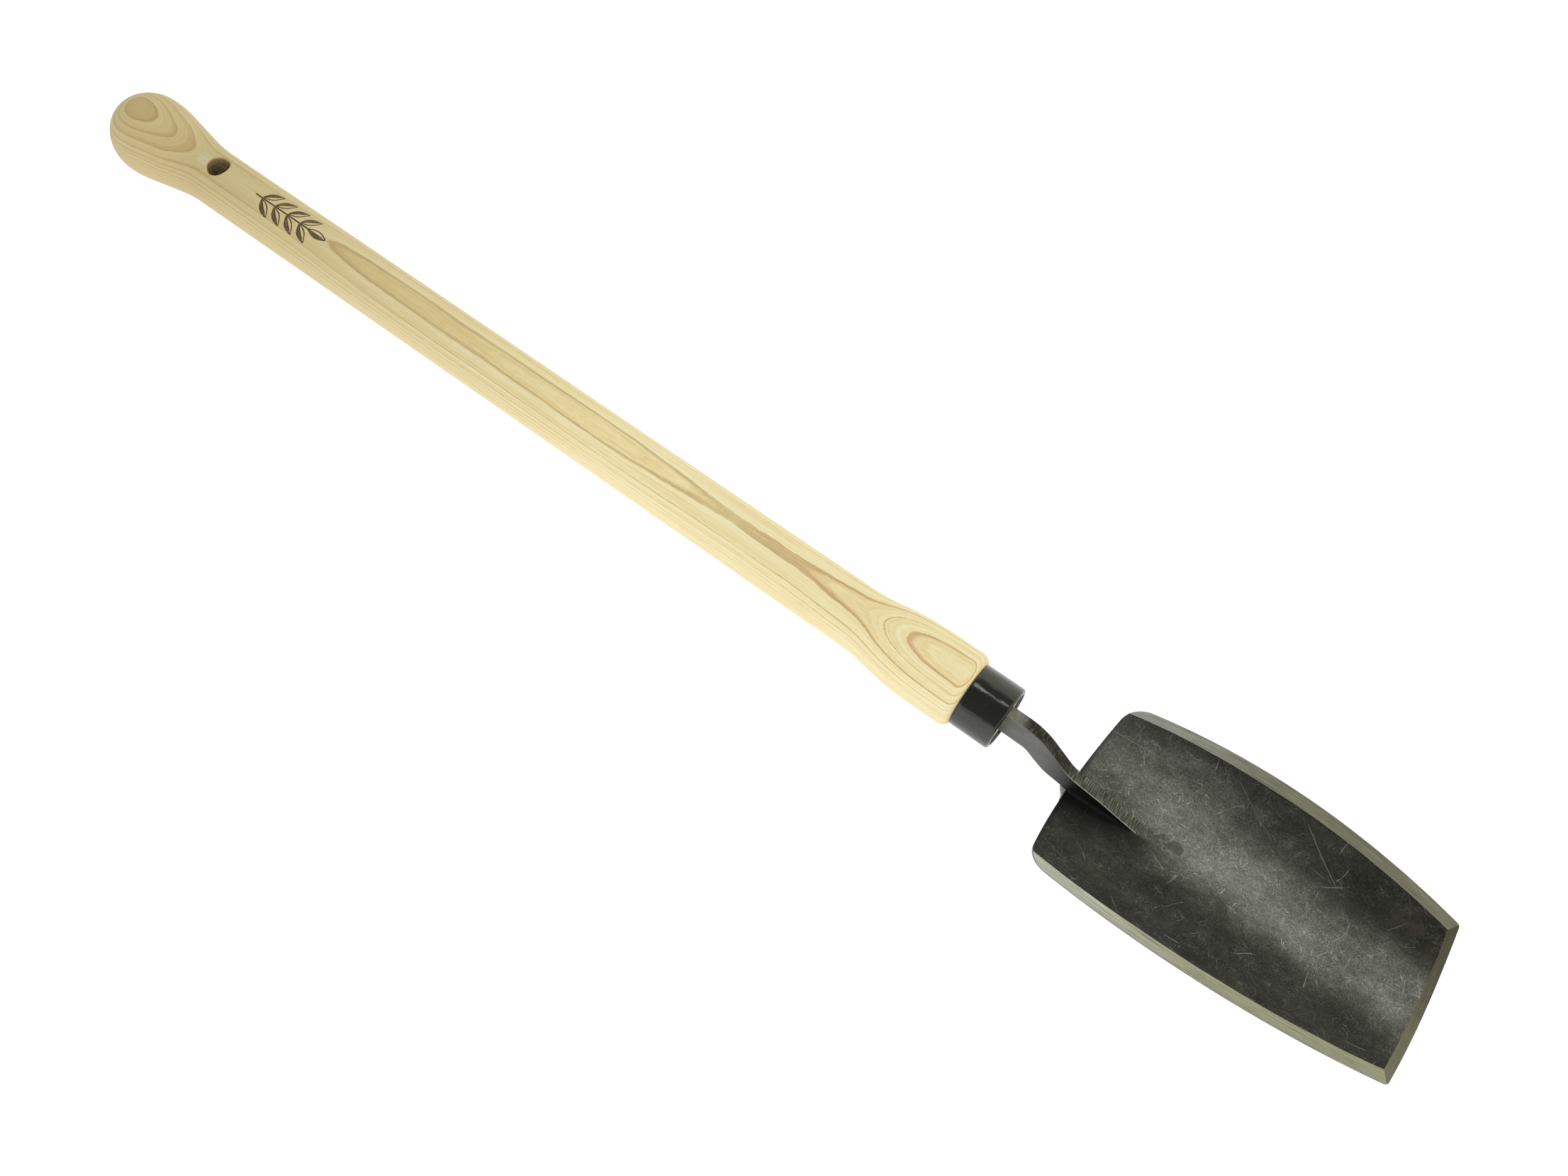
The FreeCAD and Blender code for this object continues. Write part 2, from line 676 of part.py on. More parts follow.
def make_root_weld(side, label, blade, neck):
    """A slim fillet along the root of the fin. side is 1 on the +Y side and -1 on the other."""
    body = new_body(f"{label}_bead")
    section = new_sketch(body, f"{label}_section", "YZ_Plane")
    section.AttachmentOffset = FreeCAD.Placement(FreeCAD.Vector(0, 0, OVERLAP), FreeCAD.Rotation())
    leg = size("root_weld_leg")
    root = size("bar_thickness") / 2
    outline = [
        (root - OVERLAP, -OVERLAP), (root + leg, -OVERLAP), (root + leg, 0.2 * leg),
        (root, leg), (root - OVERLAP, leg),
    ]
    corners = [(side * y, z) for y, z in outline]
    strokes = [
        line(section, first, second)
        for first, second in zip(corners, corners[1:] + corners[:1])
    ]
    close_loop(section, strokes)
    freeze(section, strokes)
    bead = body.newObject("PartDesign::Pad", f"{label}_pad")
    bead.Profile = section
    bind(bead, Length="root_weld_length")
    place_on_blade(body)
    return cut_back(body, [blade, neck], label)


# ---------------------------------------------------------------- assembly

def check_document(pieces):
    """Stops on any object that failed to compute and on any sub-part without a sound solid."""
    for thing in doc.Objects:
        if {"Invalid", "Error"} & set(thing.State):
            raise RuntimeError(f"{thing.Name} failed: {thing.State}")
    for piece in pieces:
        shape = piece.Shape
        if shape.isNull() or not shape.isValid():
            raise RuntimeError(f"{piece.Label} has no valid shape")
        if len(shape.Solids) != 1:
            raise RuntimeError(f"{piece.Label} has {len(shape.Solids)} solids")


def main():
    handle = make_handle()
    ferrule = make_ferrule()
    blade = make_blade()
    neck = make_neck(blade)
    pieces = [
        handle,
        ferrule,
        neck,
        make_tang_adhesive(neck),
        blade,
        make_rear_weld(blade, neck),
        make_root_weld(1, "weld_left", blade, neck),
        make_root_weld(-1, "weld_right", blade, neck),
    ]
    doc.recompute()
    check_document(pieces)
    os.makedirs("parts", exist_ok=True)
    for piece in pieces:
        piece.Shape.exportStep(f"parts/{piece.Label}.step")
        box = piece.Shape.optimalBoundingBox(False)
        print(f"{piece.Label}: {piece.Shape.Volume:.0f} mm3, "
              f"x {box.XMin:.1f} {box.XMax:.1f}, y {box.YMin:.1f} {box.YMax:.1f}, "
              f"z {box.ZMin:.1f} {box.ZMax:.1f}")


main()
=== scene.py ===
import json
from math import acos, atan2, copysign, cos, dist, pi, radians, sin, sqrt, tan

import bmesh
import bpy
from mathutils import Matrix, Vector, noise
from mathutils.geometry import delaunay_2d_cdt
from mathutils.kdtree import KDTree
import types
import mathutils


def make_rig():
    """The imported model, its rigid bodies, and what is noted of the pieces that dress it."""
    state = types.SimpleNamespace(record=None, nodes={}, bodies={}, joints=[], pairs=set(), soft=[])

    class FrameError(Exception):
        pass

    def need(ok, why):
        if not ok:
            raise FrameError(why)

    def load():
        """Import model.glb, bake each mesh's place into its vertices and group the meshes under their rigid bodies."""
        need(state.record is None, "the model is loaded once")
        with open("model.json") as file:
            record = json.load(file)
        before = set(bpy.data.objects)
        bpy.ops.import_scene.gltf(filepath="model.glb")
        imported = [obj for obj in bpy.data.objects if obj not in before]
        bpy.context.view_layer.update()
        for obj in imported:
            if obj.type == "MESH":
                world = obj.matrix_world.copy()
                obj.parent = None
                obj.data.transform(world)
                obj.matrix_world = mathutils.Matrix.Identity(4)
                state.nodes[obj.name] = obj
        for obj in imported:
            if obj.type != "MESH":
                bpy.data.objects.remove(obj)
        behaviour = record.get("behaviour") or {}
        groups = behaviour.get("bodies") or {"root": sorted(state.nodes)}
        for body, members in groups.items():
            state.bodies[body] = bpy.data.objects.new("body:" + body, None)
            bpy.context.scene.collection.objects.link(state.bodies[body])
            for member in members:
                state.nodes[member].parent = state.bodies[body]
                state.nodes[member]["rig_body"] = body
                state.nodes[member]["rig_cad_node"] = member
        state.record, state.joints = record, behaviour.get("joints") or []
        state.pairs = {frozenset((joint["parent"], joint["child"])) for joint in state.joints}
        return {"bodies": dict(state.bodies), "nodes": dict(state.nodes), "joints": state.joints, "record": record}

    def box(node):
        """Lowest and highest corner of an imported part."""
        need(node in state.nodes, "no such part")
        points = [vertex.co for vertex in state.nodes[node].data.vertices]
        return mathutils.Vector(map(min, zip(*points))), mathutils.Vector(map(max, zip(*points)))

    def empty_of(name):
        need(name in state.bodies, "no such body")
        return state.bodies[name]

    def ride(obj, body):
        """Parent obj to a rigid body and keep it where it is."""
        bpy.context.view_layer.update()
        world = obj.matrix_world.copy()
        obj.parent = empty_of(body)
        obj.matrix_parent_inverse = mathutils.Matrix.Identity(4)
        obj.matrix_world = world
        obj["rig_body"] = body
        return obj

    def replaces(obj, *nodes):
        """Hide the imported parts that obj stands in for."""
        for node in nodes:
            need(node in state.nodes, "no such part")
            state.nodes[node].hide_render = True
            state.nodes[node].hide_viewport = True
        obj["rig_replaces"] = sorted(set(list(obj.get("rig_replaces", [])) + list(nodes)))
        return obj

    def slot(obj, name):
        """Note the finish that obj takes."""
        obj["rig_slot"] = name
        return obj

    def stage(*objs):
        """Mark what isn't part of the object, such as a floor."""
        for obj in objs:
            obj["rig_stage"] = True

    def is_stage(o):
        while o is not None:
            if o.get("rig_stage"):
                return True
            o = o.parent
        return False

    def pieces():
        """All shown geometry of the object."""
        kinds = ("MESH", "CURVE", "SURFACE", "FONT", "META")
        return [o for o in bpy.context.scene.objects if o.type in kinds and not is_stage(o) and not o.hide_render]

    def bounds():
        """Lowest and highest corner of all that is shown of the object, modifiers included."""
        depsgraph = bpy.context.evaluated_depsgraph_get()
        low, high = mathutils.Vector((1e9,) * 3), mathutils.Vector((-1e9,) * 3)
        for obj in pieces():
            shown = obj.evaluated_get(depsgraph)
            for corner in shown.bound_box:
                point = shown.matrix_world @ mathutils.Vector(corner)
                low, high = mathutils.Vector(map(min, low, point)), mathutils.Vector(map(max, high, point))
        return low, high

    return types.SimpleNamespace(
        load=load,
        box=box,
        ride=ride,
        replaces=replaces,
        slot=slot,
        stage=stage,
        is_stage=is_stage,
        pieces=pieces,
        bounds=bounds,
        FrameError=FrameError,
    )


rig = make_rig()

# The looks of a long-handled planting spade. Shapes are worked out in millimetres in the CAD frame:
# +X from the knob to the blade, +Z up, the ground at z = 0. Meshes are stored in metres.
MM = 0.001

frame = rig.load()
cad_low, cad_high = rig.bounds()


def node_box(node):
    """A CAD node's lowest and highest corners in millimetres."""
    low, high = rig.box(node)
    return low / MM, high / MM


handle_low, handle_high = node_box("handle")
ferrule_low, ferrule_high = node_box("ferrule")
neck_low, neck_high = node_box("neck_tang")
blade_low, _ = node_box("blade")
weld_low, weld_high = node_box("weld_rear")
root_low, root_high = node_box("weld_left")
hang_hole = frame["record"]["mounts"][0]

TIP_X = handle_low.x
AXIS_Z = (ferrule_low.z + ferrule_high.z) / 2
SHOULDER_X = ferrule_low.x


# ------------------------------------------------------------------ mesh helpers

def smoothstep(low, high, value):
    t = min(1.0, max(0.0, (value - low) / (high - low)))
    return t * t * (3 - 2 * t)


def rough(x, y, z, scale):
    """Smooth seeded noise from -1 to 1; scale is the size of its lumps in millimetres."""
    return noise.noise(Vector((x, y, z)) / scale)


def make_piece(name, points, faces, materials, crisp=180):
    """A mesh object from points in millimetres; faces are (corners, number of the material).

    Edges that turn by more than crisp degrees stay sharp in the smooth mesh.
    """
    mesh = bpy.data.meshes.new(name)
    mesh.from_pydata([Vector(p) * MM for p in points], [], [corners for corners, _ in faces])
    for material in materials:
        mesh.materials.append(material)
    for polygon, (_, slot) in zip(mesh.polygons, faces):
        polygon.material_index = slot
        polygon.use_smooth = True
    work = bmesh.new()
    work.from_mesh(mesh)
    bmesh.ops.recalc_face_normals(work, faces=work.faces)
    for edge in work.edges:
        if len(edge.link_faces) == 2 and edge.calc_face_angle() > radians(crisp):
            edge.smooth = False
    work.to_mesh(mesh)
    work.free()
    piece = bpy.data.objects.new(name, mesh)
    bpy.context.scene.collection.objects.link(piece)
    return piece


def make_part(node, slot, name, *mesh, crisp=180):
    """A piece that moves with the one body and takes the place of a CAD node."""
    piece = make_piece(name, *mesh, crisp=crisp)
    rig.ride(piece, "root")
    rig.slot(piece, slot)
    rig.replaces(piece, node)
    return piece


def soften(piece, width, degrees):
    """A small bevel, width millimetres wide, on the edges that turn by more than this."""
    bevel = piece.modifiers.new("edge_wear", "BEVEL")
    bevel.width = width * MM
    bevel.segments = 2
    bevel.limit_method = "ANGLE"
    bevel.angle_limit = radians(degrees)
    bevel.harden_normals = True


def turned(outline, steps, turn_point):
    """Points and rings of a turned shape. outline is a list of (x, r); r = 0 closes an end.

    turn_point(x, r, angle) gives a point. The angle is 0 at the top and grows towards -Y.
    """
    points, rings = [], []
    for x, r in outline:
        if r == 0:
            rings.append([len(points)] * steps)
            points.append(turn_point(x, 0.0, 0.0))
            continue
        rings.append(list(range(len(points), len(points) + steps)))
        points.extend(turn_point(x, r, 2 * pi * j / steps) for j in range(steps))
    return points, rings


def strip_faces(first, second):
    """Faces round the gap between two equally long rings of point numbers."""
    faces = []
    count = len(first)
    for j in range(count):
        k = (j + 1) % count
        corners = [first[j], first[k], second[k], second[j]]
        corners = [c for i, c in enumerate(corners) if c not in corners[:i]]
        if len(corners) > 2:
            faces.append((corners, 0))
    return faces


def lofted(rows):
    """Points and faces of a closed shape through equally long rings of points, end to end."""
    size = len(rows[0])
    points = [point for row in rows for point in row]
    rings = [list(range(k * size, (k + 1) * size)) for k in range(len(rows))]
    faces = []
    for first, second in zip(rings, rings[1:]):
        faces += strip_faces(first, second)
    return points, faces + [(rings[0], 0), (rings[-1], 0)]


# ------------------------------------------------------------------ shader helpers

def math_operator(operation, swapped=False):
    """A Python operator that adds one Math node."""
    def apply(value, other):
        pair = (other, value) if swapped else (value, other)
        return value.shader.calc(operation, *pair)
    return apply


class Value:
    """What a node gives out. Arithmetic on it adds Math nodes; a comparison gives 0 or 1."""

    def __init__(self, shader, socket):
        self.shader = shader
        self.socket = socket

    __add__ = __radd__ = math_operator("ADD")
    __mul__ = __rmul__ = math_operator("MULTIPLY")
    __sub__ = math_operator("SUBTRACT")
    __rsub__ = math_operator("SUBTRACT", swapped=True)
    __truediv__ = math_operator("DIVIDE")
    __gt__ = math_operator("GREATER_THAN")
    __lt__ = math_operator("LESS_THAN")

    def __abs__(self):
        return self.shader.calc("ABSOLUTE", self)

    def __round__(self):
        return self.shader.calc("ROUND", self)


class Shader:
    """Builds a material, or the world, out of nodes. Inputs may be numbers, tuples or Values."""

    def __init__(self, name, owners=bpy.data.materials):
        self.owner = owners.new(name)
        self.owner.use_nodes = True
        self.tree = self.owner.node_tree
        self.tree.nodes.clear()

    def add(self, kind, *inputs, **settings):
        """A node with these settings, and these inputs in its first sockets."""
        node = self.tree.nodes.new(kind)
        for key, value in settings.items():
            setattr(node, key, value)
        for socket, value in zip(node.inputs, inputs):
            self.put(socket, value)
        return node

    def put(self, socket, value):
        if isinstance(value, Value):
            self.tree.links.new(value.socket, socket)
        elif socket.type == "RGBA":
            socket.default_value = (*value, 1.0)
        else:
            socket.default_value = value

    def out(self, node, output=0):
        return Value(self, node.outputs[output])

    def calc(self, operation, *values, clamp=False):
        return self.out(self.add("ShaderNodeMath", *values, operation=operation, use_clamp=clamp))

    def clamp(self, value):
        return self.calc("ADD", value, 0.0, clamp=True)

    def highest(self, first, *others):
        for other in others:
            first = self.calc("MAXIMUM", first, other)
        return first

    def root_of_squares(self, first, second):
        return self.calc("SQRT", first * first + second * second)

    def vector(self, operation, *values, output=0):
        return self.out(self.add("ShaderNodeVectorMath", *values, operation=operation), output)

    def combine(self, x, y, z):
        return self.out(self.add("ShaderNodeCombineXYZ", x, y, z))

    def separate(self, vector):
        node = self.add("ShaderNodeSeparateXYZ", vector)
        return [Value(self, output) for output in node.outputs]

    def place(self):
        """The point on the piece in millimetres, in the CAD frame."""
        metres = self.out(self.add("ShaderNodeTexCoord"), "Object")
        return self.vector("MULTIPLY", metres, (1 / MM, 1 / MM, 1 / MM))

    def step(self, low, high, value):
        """A smooth step from 0 at low to 1 at high."""
        return self.out(self.add("ShaderNodeMapRange", value, low, high, 0.0, 1.0,
                                 interpolation_type="SMOOTHSTEP"))

    def mix(self, factor, first, second, blend="MIX"):
        node = self.add("ShaderNodeMix", factor, data_type="RGBA", blend_type=blend)
        self.put(node.inputs[6], first)
        self.put(node.inputs[7], second)
        return self.out(node, 2)

    def overlay(self, factor, colour, value, *stops):
        """The colour made lighter and darker by a ramp of greys."""
        return self.mix(factor, colour, self.ramp(value, *stops), "OVERLAY")

    def noise(self, place, size, detail=3.0, roughness=0.55, distortion=0.0):
        """Noise from 0 to 1. size is how large its lumps are along each axis of the place."""
        if isinstance(place, tuple):
            place = self.combine(*place)
        node = self.add("ShaderNodeTexNoise", self.vector("DIVIDE", place, size),
                        noise_dimensions="3D")
        node.inputs["Scale"].default_value = 1.0
        node.inputs["Detail"].default_value = detail
        node.inputs["Roughness"].default_value = roughness
        node.inputs["Distortion"].default_value = distortion
        return self.out(node)

    def ramp(self, factor, *stops):
        """A colour ramp; each stop is (position, grey value or colour)."""
        node = self.add("ShaderNodeValToRGB", factor)
        elements = node.color_ramp.elements
        while len(elements) < len(stops):
            elements.new(0.5)
        for element, (position, colour) in zip(elements, stops):
            if not isinstance(colour, tuple):
                colour = (colour, colour, colour)
            element.position = position
            element.color = (*colour, 1.0)
        return self.out(node)

    def curve(self, value, low, high, stops):
        """A piecewise straight curve through (value, result) stops; values run from low to high."""
        bottom = min(result for _, result in stops)
        top = max(result for _, result in stops)
        node = self.add("ShaderNodeFloatCurve")
        curve = node.mapping.curves[0]
        while len(curve.points) < len(stops):
            curve.points.new(0.5, 0.5)
        for spot, (position, result) in zip(curve.points, stops):
            spot.location = ((position - low) / (high - low), (result - bottom) / (top - bottom))
            spot.handle_type = "VECTOR"
        node.mapping.update()
        self.put(node.inputs["Value"], self.clamp((value - low) / (high - low)))
        return self.out(node) * (top - bottom) + bottom

    def scratches(self, vector, cell, length, width, bend=0.05, share=0.7, turn=pi, lean=0.0):
        """One straight or curved scratch in each cell of a random net, 0 to 1.

        cell, length and width are millimetres. share of the cells have one. Each leans by lean
        plus or minus turn, in radians.
        """
        net = self.add("ShaderNodeTexVoronoi", vector, voronoi_dimensions="2D", feature="F1")
        net.inputs["Scale"].default_value = 1 / cell
        first, second, third = self.separate(self.out(net, "Color"))
        dx, dy, _ = self.separate(self.vector("SUBTRACT", vector, self.out(net, "Position")))
        angle = first * (2 * turn) + (lean - turn)
        cosine = self.calc("COSINE", angle)
        sine = self.calc("SINE", angle)
        along = dx * cosine + dy * sine
        across = dy * cosine - dx * sine - (second * (2 * bend) - bend) * (along * along)
        thin = self.step(width, 0.3 * width, abs(across))
        short = self.step(length / 2, 0.3 * length, abs(along))
        there = self.step(1 - share - 0.02, 1 - share + 0.25, third)
        return thin * short * there

    def bump(self, height, depth, normal=None):
        """A bump whose height runs from 0 to 1 over depth millimetres."""
        node = self.add("ShaderNodeBump")
        node.inputs["Strength"].default_value = 1.0
        node.inputs["Distance"].default_value = depth * MM
        self.put(node.inputs["Height"], height)
        if normal is not None:
            self.put(node.inputs["Normal"], normal)
        return self.out(node)

    def finish(self, colour, roughness, normal=None, **settings):
        """Joins everything to a Principled shader. Settings are its even, whole-surface values."""
        shader = self.add("ShaderNodeBsdfPrincipled", colour)
        self.put(shader.inputs["Roughness"], roughness)
        if normal is not None:
            self.put(shader.inputs["Normal"], normal)
        for key, value in settings.items():
            shader.inputs[key.replace("_", " ")].default_value = value
        self.add("ShaderNodeOutputMaterial", self.out(shader))
        return self.owner


# ------------------------------------------------------------------ ash wood

GRAIN_TILT = radians(13.0)     # how far the growth rings lean about the handle's axis
WOOD_END = SHOULDER_X - TIP_X       # length of the handle's visible wood

# Heights of the growth rings above the handle's axis, and how far the grain runs out along it.
RING_STOPS = [
    (-26, -17), (-1.5, 0), (0.6, 1), (2.6, 2), (4.5, 3), (6.3, 4), (8.1, 5), (9.9, 6), (12.3, 7),
    (15.4, 8), (16.6, 8.2), (18.3, 9), (20.3, 10), (21.2, 10.2), (24.5, 11), (26, 11.4),
]
RUN_OUT_STOPS = [
    (0, 0.2), (20, 0.25), (33, 0.35), (46, 0.95), (58, 0.3), (66, -0.2), (100, 0.1), (140, 0.55),
    (150, 0.85), (162, 1.35), (180, 1.75), (265, 1.8), (346, 1.9), (368, 1.75), (387, 1.4),
    (406, 1.05), (427, 1.2), (440, 1.25), (450, 1.5), (462, 1.85), (475, 2.2), (486, 2.7),
    (499, 3.2), (515, 3.8), (540, 4.2),
]
LINE = (0.58, 0.46, 0.235)
TAN = (0.775, 0.655, 0.37)
STRAW = (0.755, 0.65, 0.385)
CREAM = (0.79, 0.695, 0.435)
CHAR = (0.045, 0.022, 0.008)
KNOB_END_TAN = (0.45, 0.37, 0.19)


def leaf_mark(s, place, distance, around):
    """A generic sprig of leaves, 0 to 1: distance along and around its middle, in mm."""
    lean = radians(40.0)                # angle between a leaf and the stem
    gap = 8.6                           # distance between pairs of leaves along the stem
    leaf_length = 10.5
    leaf_half = 1.9
    stem_start, stem_end, tip_end = -24.0, 12.0, 24.0
    last_pair = 3
    along = distance - (stem_start + 4.0)
    side = abs(around)
    out = side * cos(lean) - along * sin(lean)
    pair = round(out / (-gap * sin(lean)))
    pair = s.calc("MINIMUM", s.highest(pair, 0.0), last_pair)
    off_axis = out + pair * (gap * sin(lean))
    reach = along * cos(lean) + side * sin(lean) - pair * (gap * cos(lean))

    def leaf(share, across):
        """A pointed leaf: outline, midrib and one shaded half."""
        inside = (share > 0.0) * (share < 1.0)
        belly = s.calc("SINE", share * pi) * leaf_half
        outline = s.step(0.42, 0.24, abs(abs(across) - belly))
        midrib = s.step(0.34, 0.18, abs(across)) * (share < 0.8)
        shade = (across > 0.0) * (across < belly)
        lines = s.highest(outline, midrib, shade * 0.9)
        return lines * inside

    leaves = leaf((reach - 0.9) / leaf_length, off_axis)
    tip = leaf((distance - stem_end) / (tip_end - stem_end), around)
    stem = s.step(0.5, 0.3, side) * (distance > stem_start) * (distance < stem_end)
    lines = s.highest(leaves, tip, stem)
    uneven = s.noise(place, (1.2, 1.2, 1.2), detail=2.0)
    return s.clamp(lines * (uneven * 0.6 + 0.72))


def make_wood():
    """Pale ash: flat growth rings through the solid wood, pores, fibres and a burnt mark."""
    s = Shader("ash_wood")
    place = s.place()
    x, y, z = s.separate(place)
    along = x - TIP_X
    up = z - AXIS_Z
    height = up * cos(GRAIN_TILT) - y * sin(GRAIN_TILT)
    run_out = s.curve(along, 0, 540, RUN_OUT_STOPS)
    broad = s.noise(place, (60, 25, 25), detail=1.0)
    small = s.noise(place, (12, 3.5, 3.5), detail=2.0)
    hair = s.noise(place, (4.5, 0.45, 0.45), detail=2.0)
    wander = (broad - 0.5) * 0.9 + (small - 0.5) * 0.2 + (hair - 0.5) * 0.28
    level = height + run_out + wander
    ring = s.calc("FRACT", s.curve(level, -26, 26, RING_STOPS))
    colour = s.ramp(ring, (0.0, LINE), (0.03, LINE), (0.075, TAN), (0.21, TAN), (0.36, STRAW),
                    (0.62, CREAM), (0.98, CREAM), (1.0, LINE))
    early = s.ramp(ring, (0.0, 1.0), (0.16, 0.8), (0.34, 0.15), (1.0, 0.05))

    # towards the flare the early wood shows only as a thin line
    line = s.ramp(ring, (0.0, 1.0), (0.05, 1.0), (0.12, 0.0), (0.985, 0.0), (1.0, 1.0))
    pale = s.step(415, 475, along) * (1.0 - line)
    colour = s.mix(pale * 0.72, colour, CREAM)
    warm = s.step(415, 475, along) * line
    colour = s.mix(warm * 0.55, colour, (0.58, 0.39, 0.17))

    # thin layers follow the rings; pores are short dark dashes in the early wood
    layers = s.noise((level, along, 0.0), (0.42, 110.0, 1), detail=2.0, roughness=0.6)
    colour = s.overlay(0.75, colour, layers, (0.32, 0.34), (0.68, 0.59))
    dashes = s.noise(place, (5.0, 0.22, 0.22), detail=1.0)
    pores = s.step(0.58, 0.72, dashes) * early
    colour = s.mix(pores * 0.42, colour, (0.42, 0.31, 0.15))
    fibres = s.noise(place, (26, 0.45, 0.45), detail=3.0, roughness=0.7)
    colour = s.overlay(0.6, colour, fibres, (0.3, 0.38), (0.7, 0.61))
    cloud = s.noise(place, (60, 12, 12), detail=2.0)
    colour = s.overlay(0.4, colour, cloud, (0.3, 0.43), (0.7, 0.56))

    # the knob end is darker and more even, the flare end clean
    toward_knob = s.clamp((330.0 - along) / 270.0)
    colour = s.mix(toward_knob * 0.4, colour, KNOB_END_TAN)
    colour = s.mix(toward_knob * early * 0.5, colour, (0.47, 0.36, 0.18))
    colour = s.mix(toward_knob * 0.72, colour, (0.75, 0.7, 0.6), "MULTIPLY")

    # a pale scuffed patch on the knob side of the hang hole
    hole_side = s.vector("SUBTRACT", place, (TIP_X + 66.6, -4.2, AXIS_Z + 14.2))
    hole_side = s.vector("DIVIDE", hole_side, (5.0, 5.2, 5.0))
    reach = s.vector("LENGTH", hole_side, output="Value")
    scuff = s.step(1.1, 0.3, reach) * s.step(0.3, 0.62, fibres)
    colour = s.mix(scuff * 0.55, colour, (0.6, 0.57, 0.43))

    # the inside of the hole is brown and rough, with painted shade darkening it deeper in
    cross = y * cos(HOLE_TURN) + up * sin(HOLE_TURN)
    offset = along - HOLE_S
    reach = s.root_of_squares(offset, cross)
    depth = s.root_of_squares(y, up)
    inside = s.step(HOLE_RADIUS + 0.25, HOLE_RADIUS + 0.05, reach)
    inside = inside * s.step(SHAFT_RADIUS - 0.3, SHAFT_RADIUS - 2.2, depth)
    ragged = s.noise(place, (1.1, 1.1, 1.1), detail=3.0, roughness=0.7)
    brown = s.ramp(ragged, (0.3, (0.15, 0.095, 0.038)), (0.7, (0.40, 0.30, 0.15)))
    # painted shade: the hole's wall is darkened the deeper it goes
    hole_depth_shade = s.step(12.8, 9.0, depth)
    brown = s.mix(hole_depth_shade * 0.5, brown, (0.3, 0.26, 0.2), "MULTIPLY")
    colour = s.mix(inside, colour, brown)
    lip = s.step(HOLE_RADIUS + 0.85, HOLE_RADIUS + 0.45, reach) * s.step(2.0, 6.0, offset - cross)
    lip = lip * (1.0 - inside)
    colour = s.mix(lip * 0.55, colour, (0.38, 0.17, 0.08))

    around = s.calc("ARCTAN2", y * -1.0, up)
    around = (around - MARK_ANGLE) * SHAFT_RADIUS
    mark = leaf_mark(s, place, along - MARK_S, around)
    colour = s.mix(mark * 0.95, colour, CHAR)

    grain = (fibres - pores) * 0.5
    normal = s.bump(grain, 0.07)
    normal = s.bump(1.0 - mark, 0.1, normal)
    roughness = fibres * 0.16 + 0.46
    return s.finish(colour, roughness, normal, Specular_IOR_Level=0.32)


# ------------------------------------------------------------------ handle

KNOB_RADIUS = (handle_high.z - handle_low.z) / 2
SWELL_RADIUS = 60.0
CONE_SLOPE = radians(10.9)
COVE_RADIUS = 85.0
SHAFT_RADIUS = 14.45
FLARE_IN_RADIUS = 85.0
FLARE_OUT_RADIUS = 147.0
FLARE_RADIUS = 18.0
FLARE_LAND = 19.3
SHOULDER_ROUND = 4.5
SPIGOT_RADIUS = 13.0
BORE_RADIUS = 6.0
BORE_DEPTH = 94.0
DRILL_TIP = 3.6
HOLE_S = hang_hole["pos_m"][0] / MM - TIP_X
HOLE_RADIUS = hang_hole["dims"]["r_mm"]
HOLE_ROUND = 1.0
HOLE_TURN = atan2(-hang_hole["axis"][1], hang_hole["axis"][2])
MARK_S = 128.0
MARK_ANGLE = radians(15.0)


def wood_radius(s):
    """The turned handle's radius at a distance s from the tip of the knob, all in mm."""

    def arc(middle, centre, radius):
        """The upper side of a circle, or the lower side if its radius is negative."""
        return centre + copysign(sqrt(max(0.0, radius ** 2 - (s - middle) ** 2)), radius)

    swell_end = KNOB_RADIUS + SWELL_RADIUS * sin(CONE_SLOPE)
    swell_end_r = KNOB_RADIUS - SWELL_RADIUS * (1 - cos(CONE_SLOPE))
    cove_r = SHAFT_RADIUS + COVE_RADIUS * (1 - cos(CONE_SLOPE))
    cove_start = swell_end + (swell_end_r - cove_r) / tan(CONE_SLOPE)
    cove_end = cove_start + COVE_RADIUS * sin(CONE_SLOPE)
    slope = acos(1 - (FLARE_RADIUS - SHAFT_RADIUS) / (FLARE_IN_RADIUS + FLARE_OUT_RADIUS))
    land_start = WOOD_END - FLARE_LAND
    crown_start = land_start - FLARE_OUT_RADIUS * sin(slope)
    rise_start = crown_start - FLARE_IN_RADIUS * sin(slope)
    shoulder_start = WOOD_END - SHOULDER_ROUND
    if s <= KNOB_RADIUS:
        return arc(KNOB_RADIUS, 0.0, KNOB_RADIUS)
    if s <= swell_end:
        return arc(KNOB_RADIUS, KNOB_RADIUS - SWELL_RADIUS, SWELL_RADIUS)
    if s <= cove_start:
        return swell_end_r - (s - swell_end) * tan(CONE_SLOPE)
    if s <= cove_end:
        return arc(cove_end, SHAFT_RADIUS + COVE_RADIUS, -COVE_RADIUS)
    if s <= rise_start:
        return SHAFT_RADIUS
    if s <= crown_start:
        return arc(rise_start, SHAFT_RADIUS + FLARE_IN_RADIUS, -FLARE_IN_RADIUS)
    if s <= land_start:
        return arc(land_start, FLARE_RADIUS - FLARE_OUT_RADIUS, FLARE_OUT_RADIUS)
    if s <= shoulder_start:
        return FLARE_RADIUS
    return arc(shoulder_start, FLARE_RADIUS - SHOULDER_ROUND, SHOULDER_ROUND)


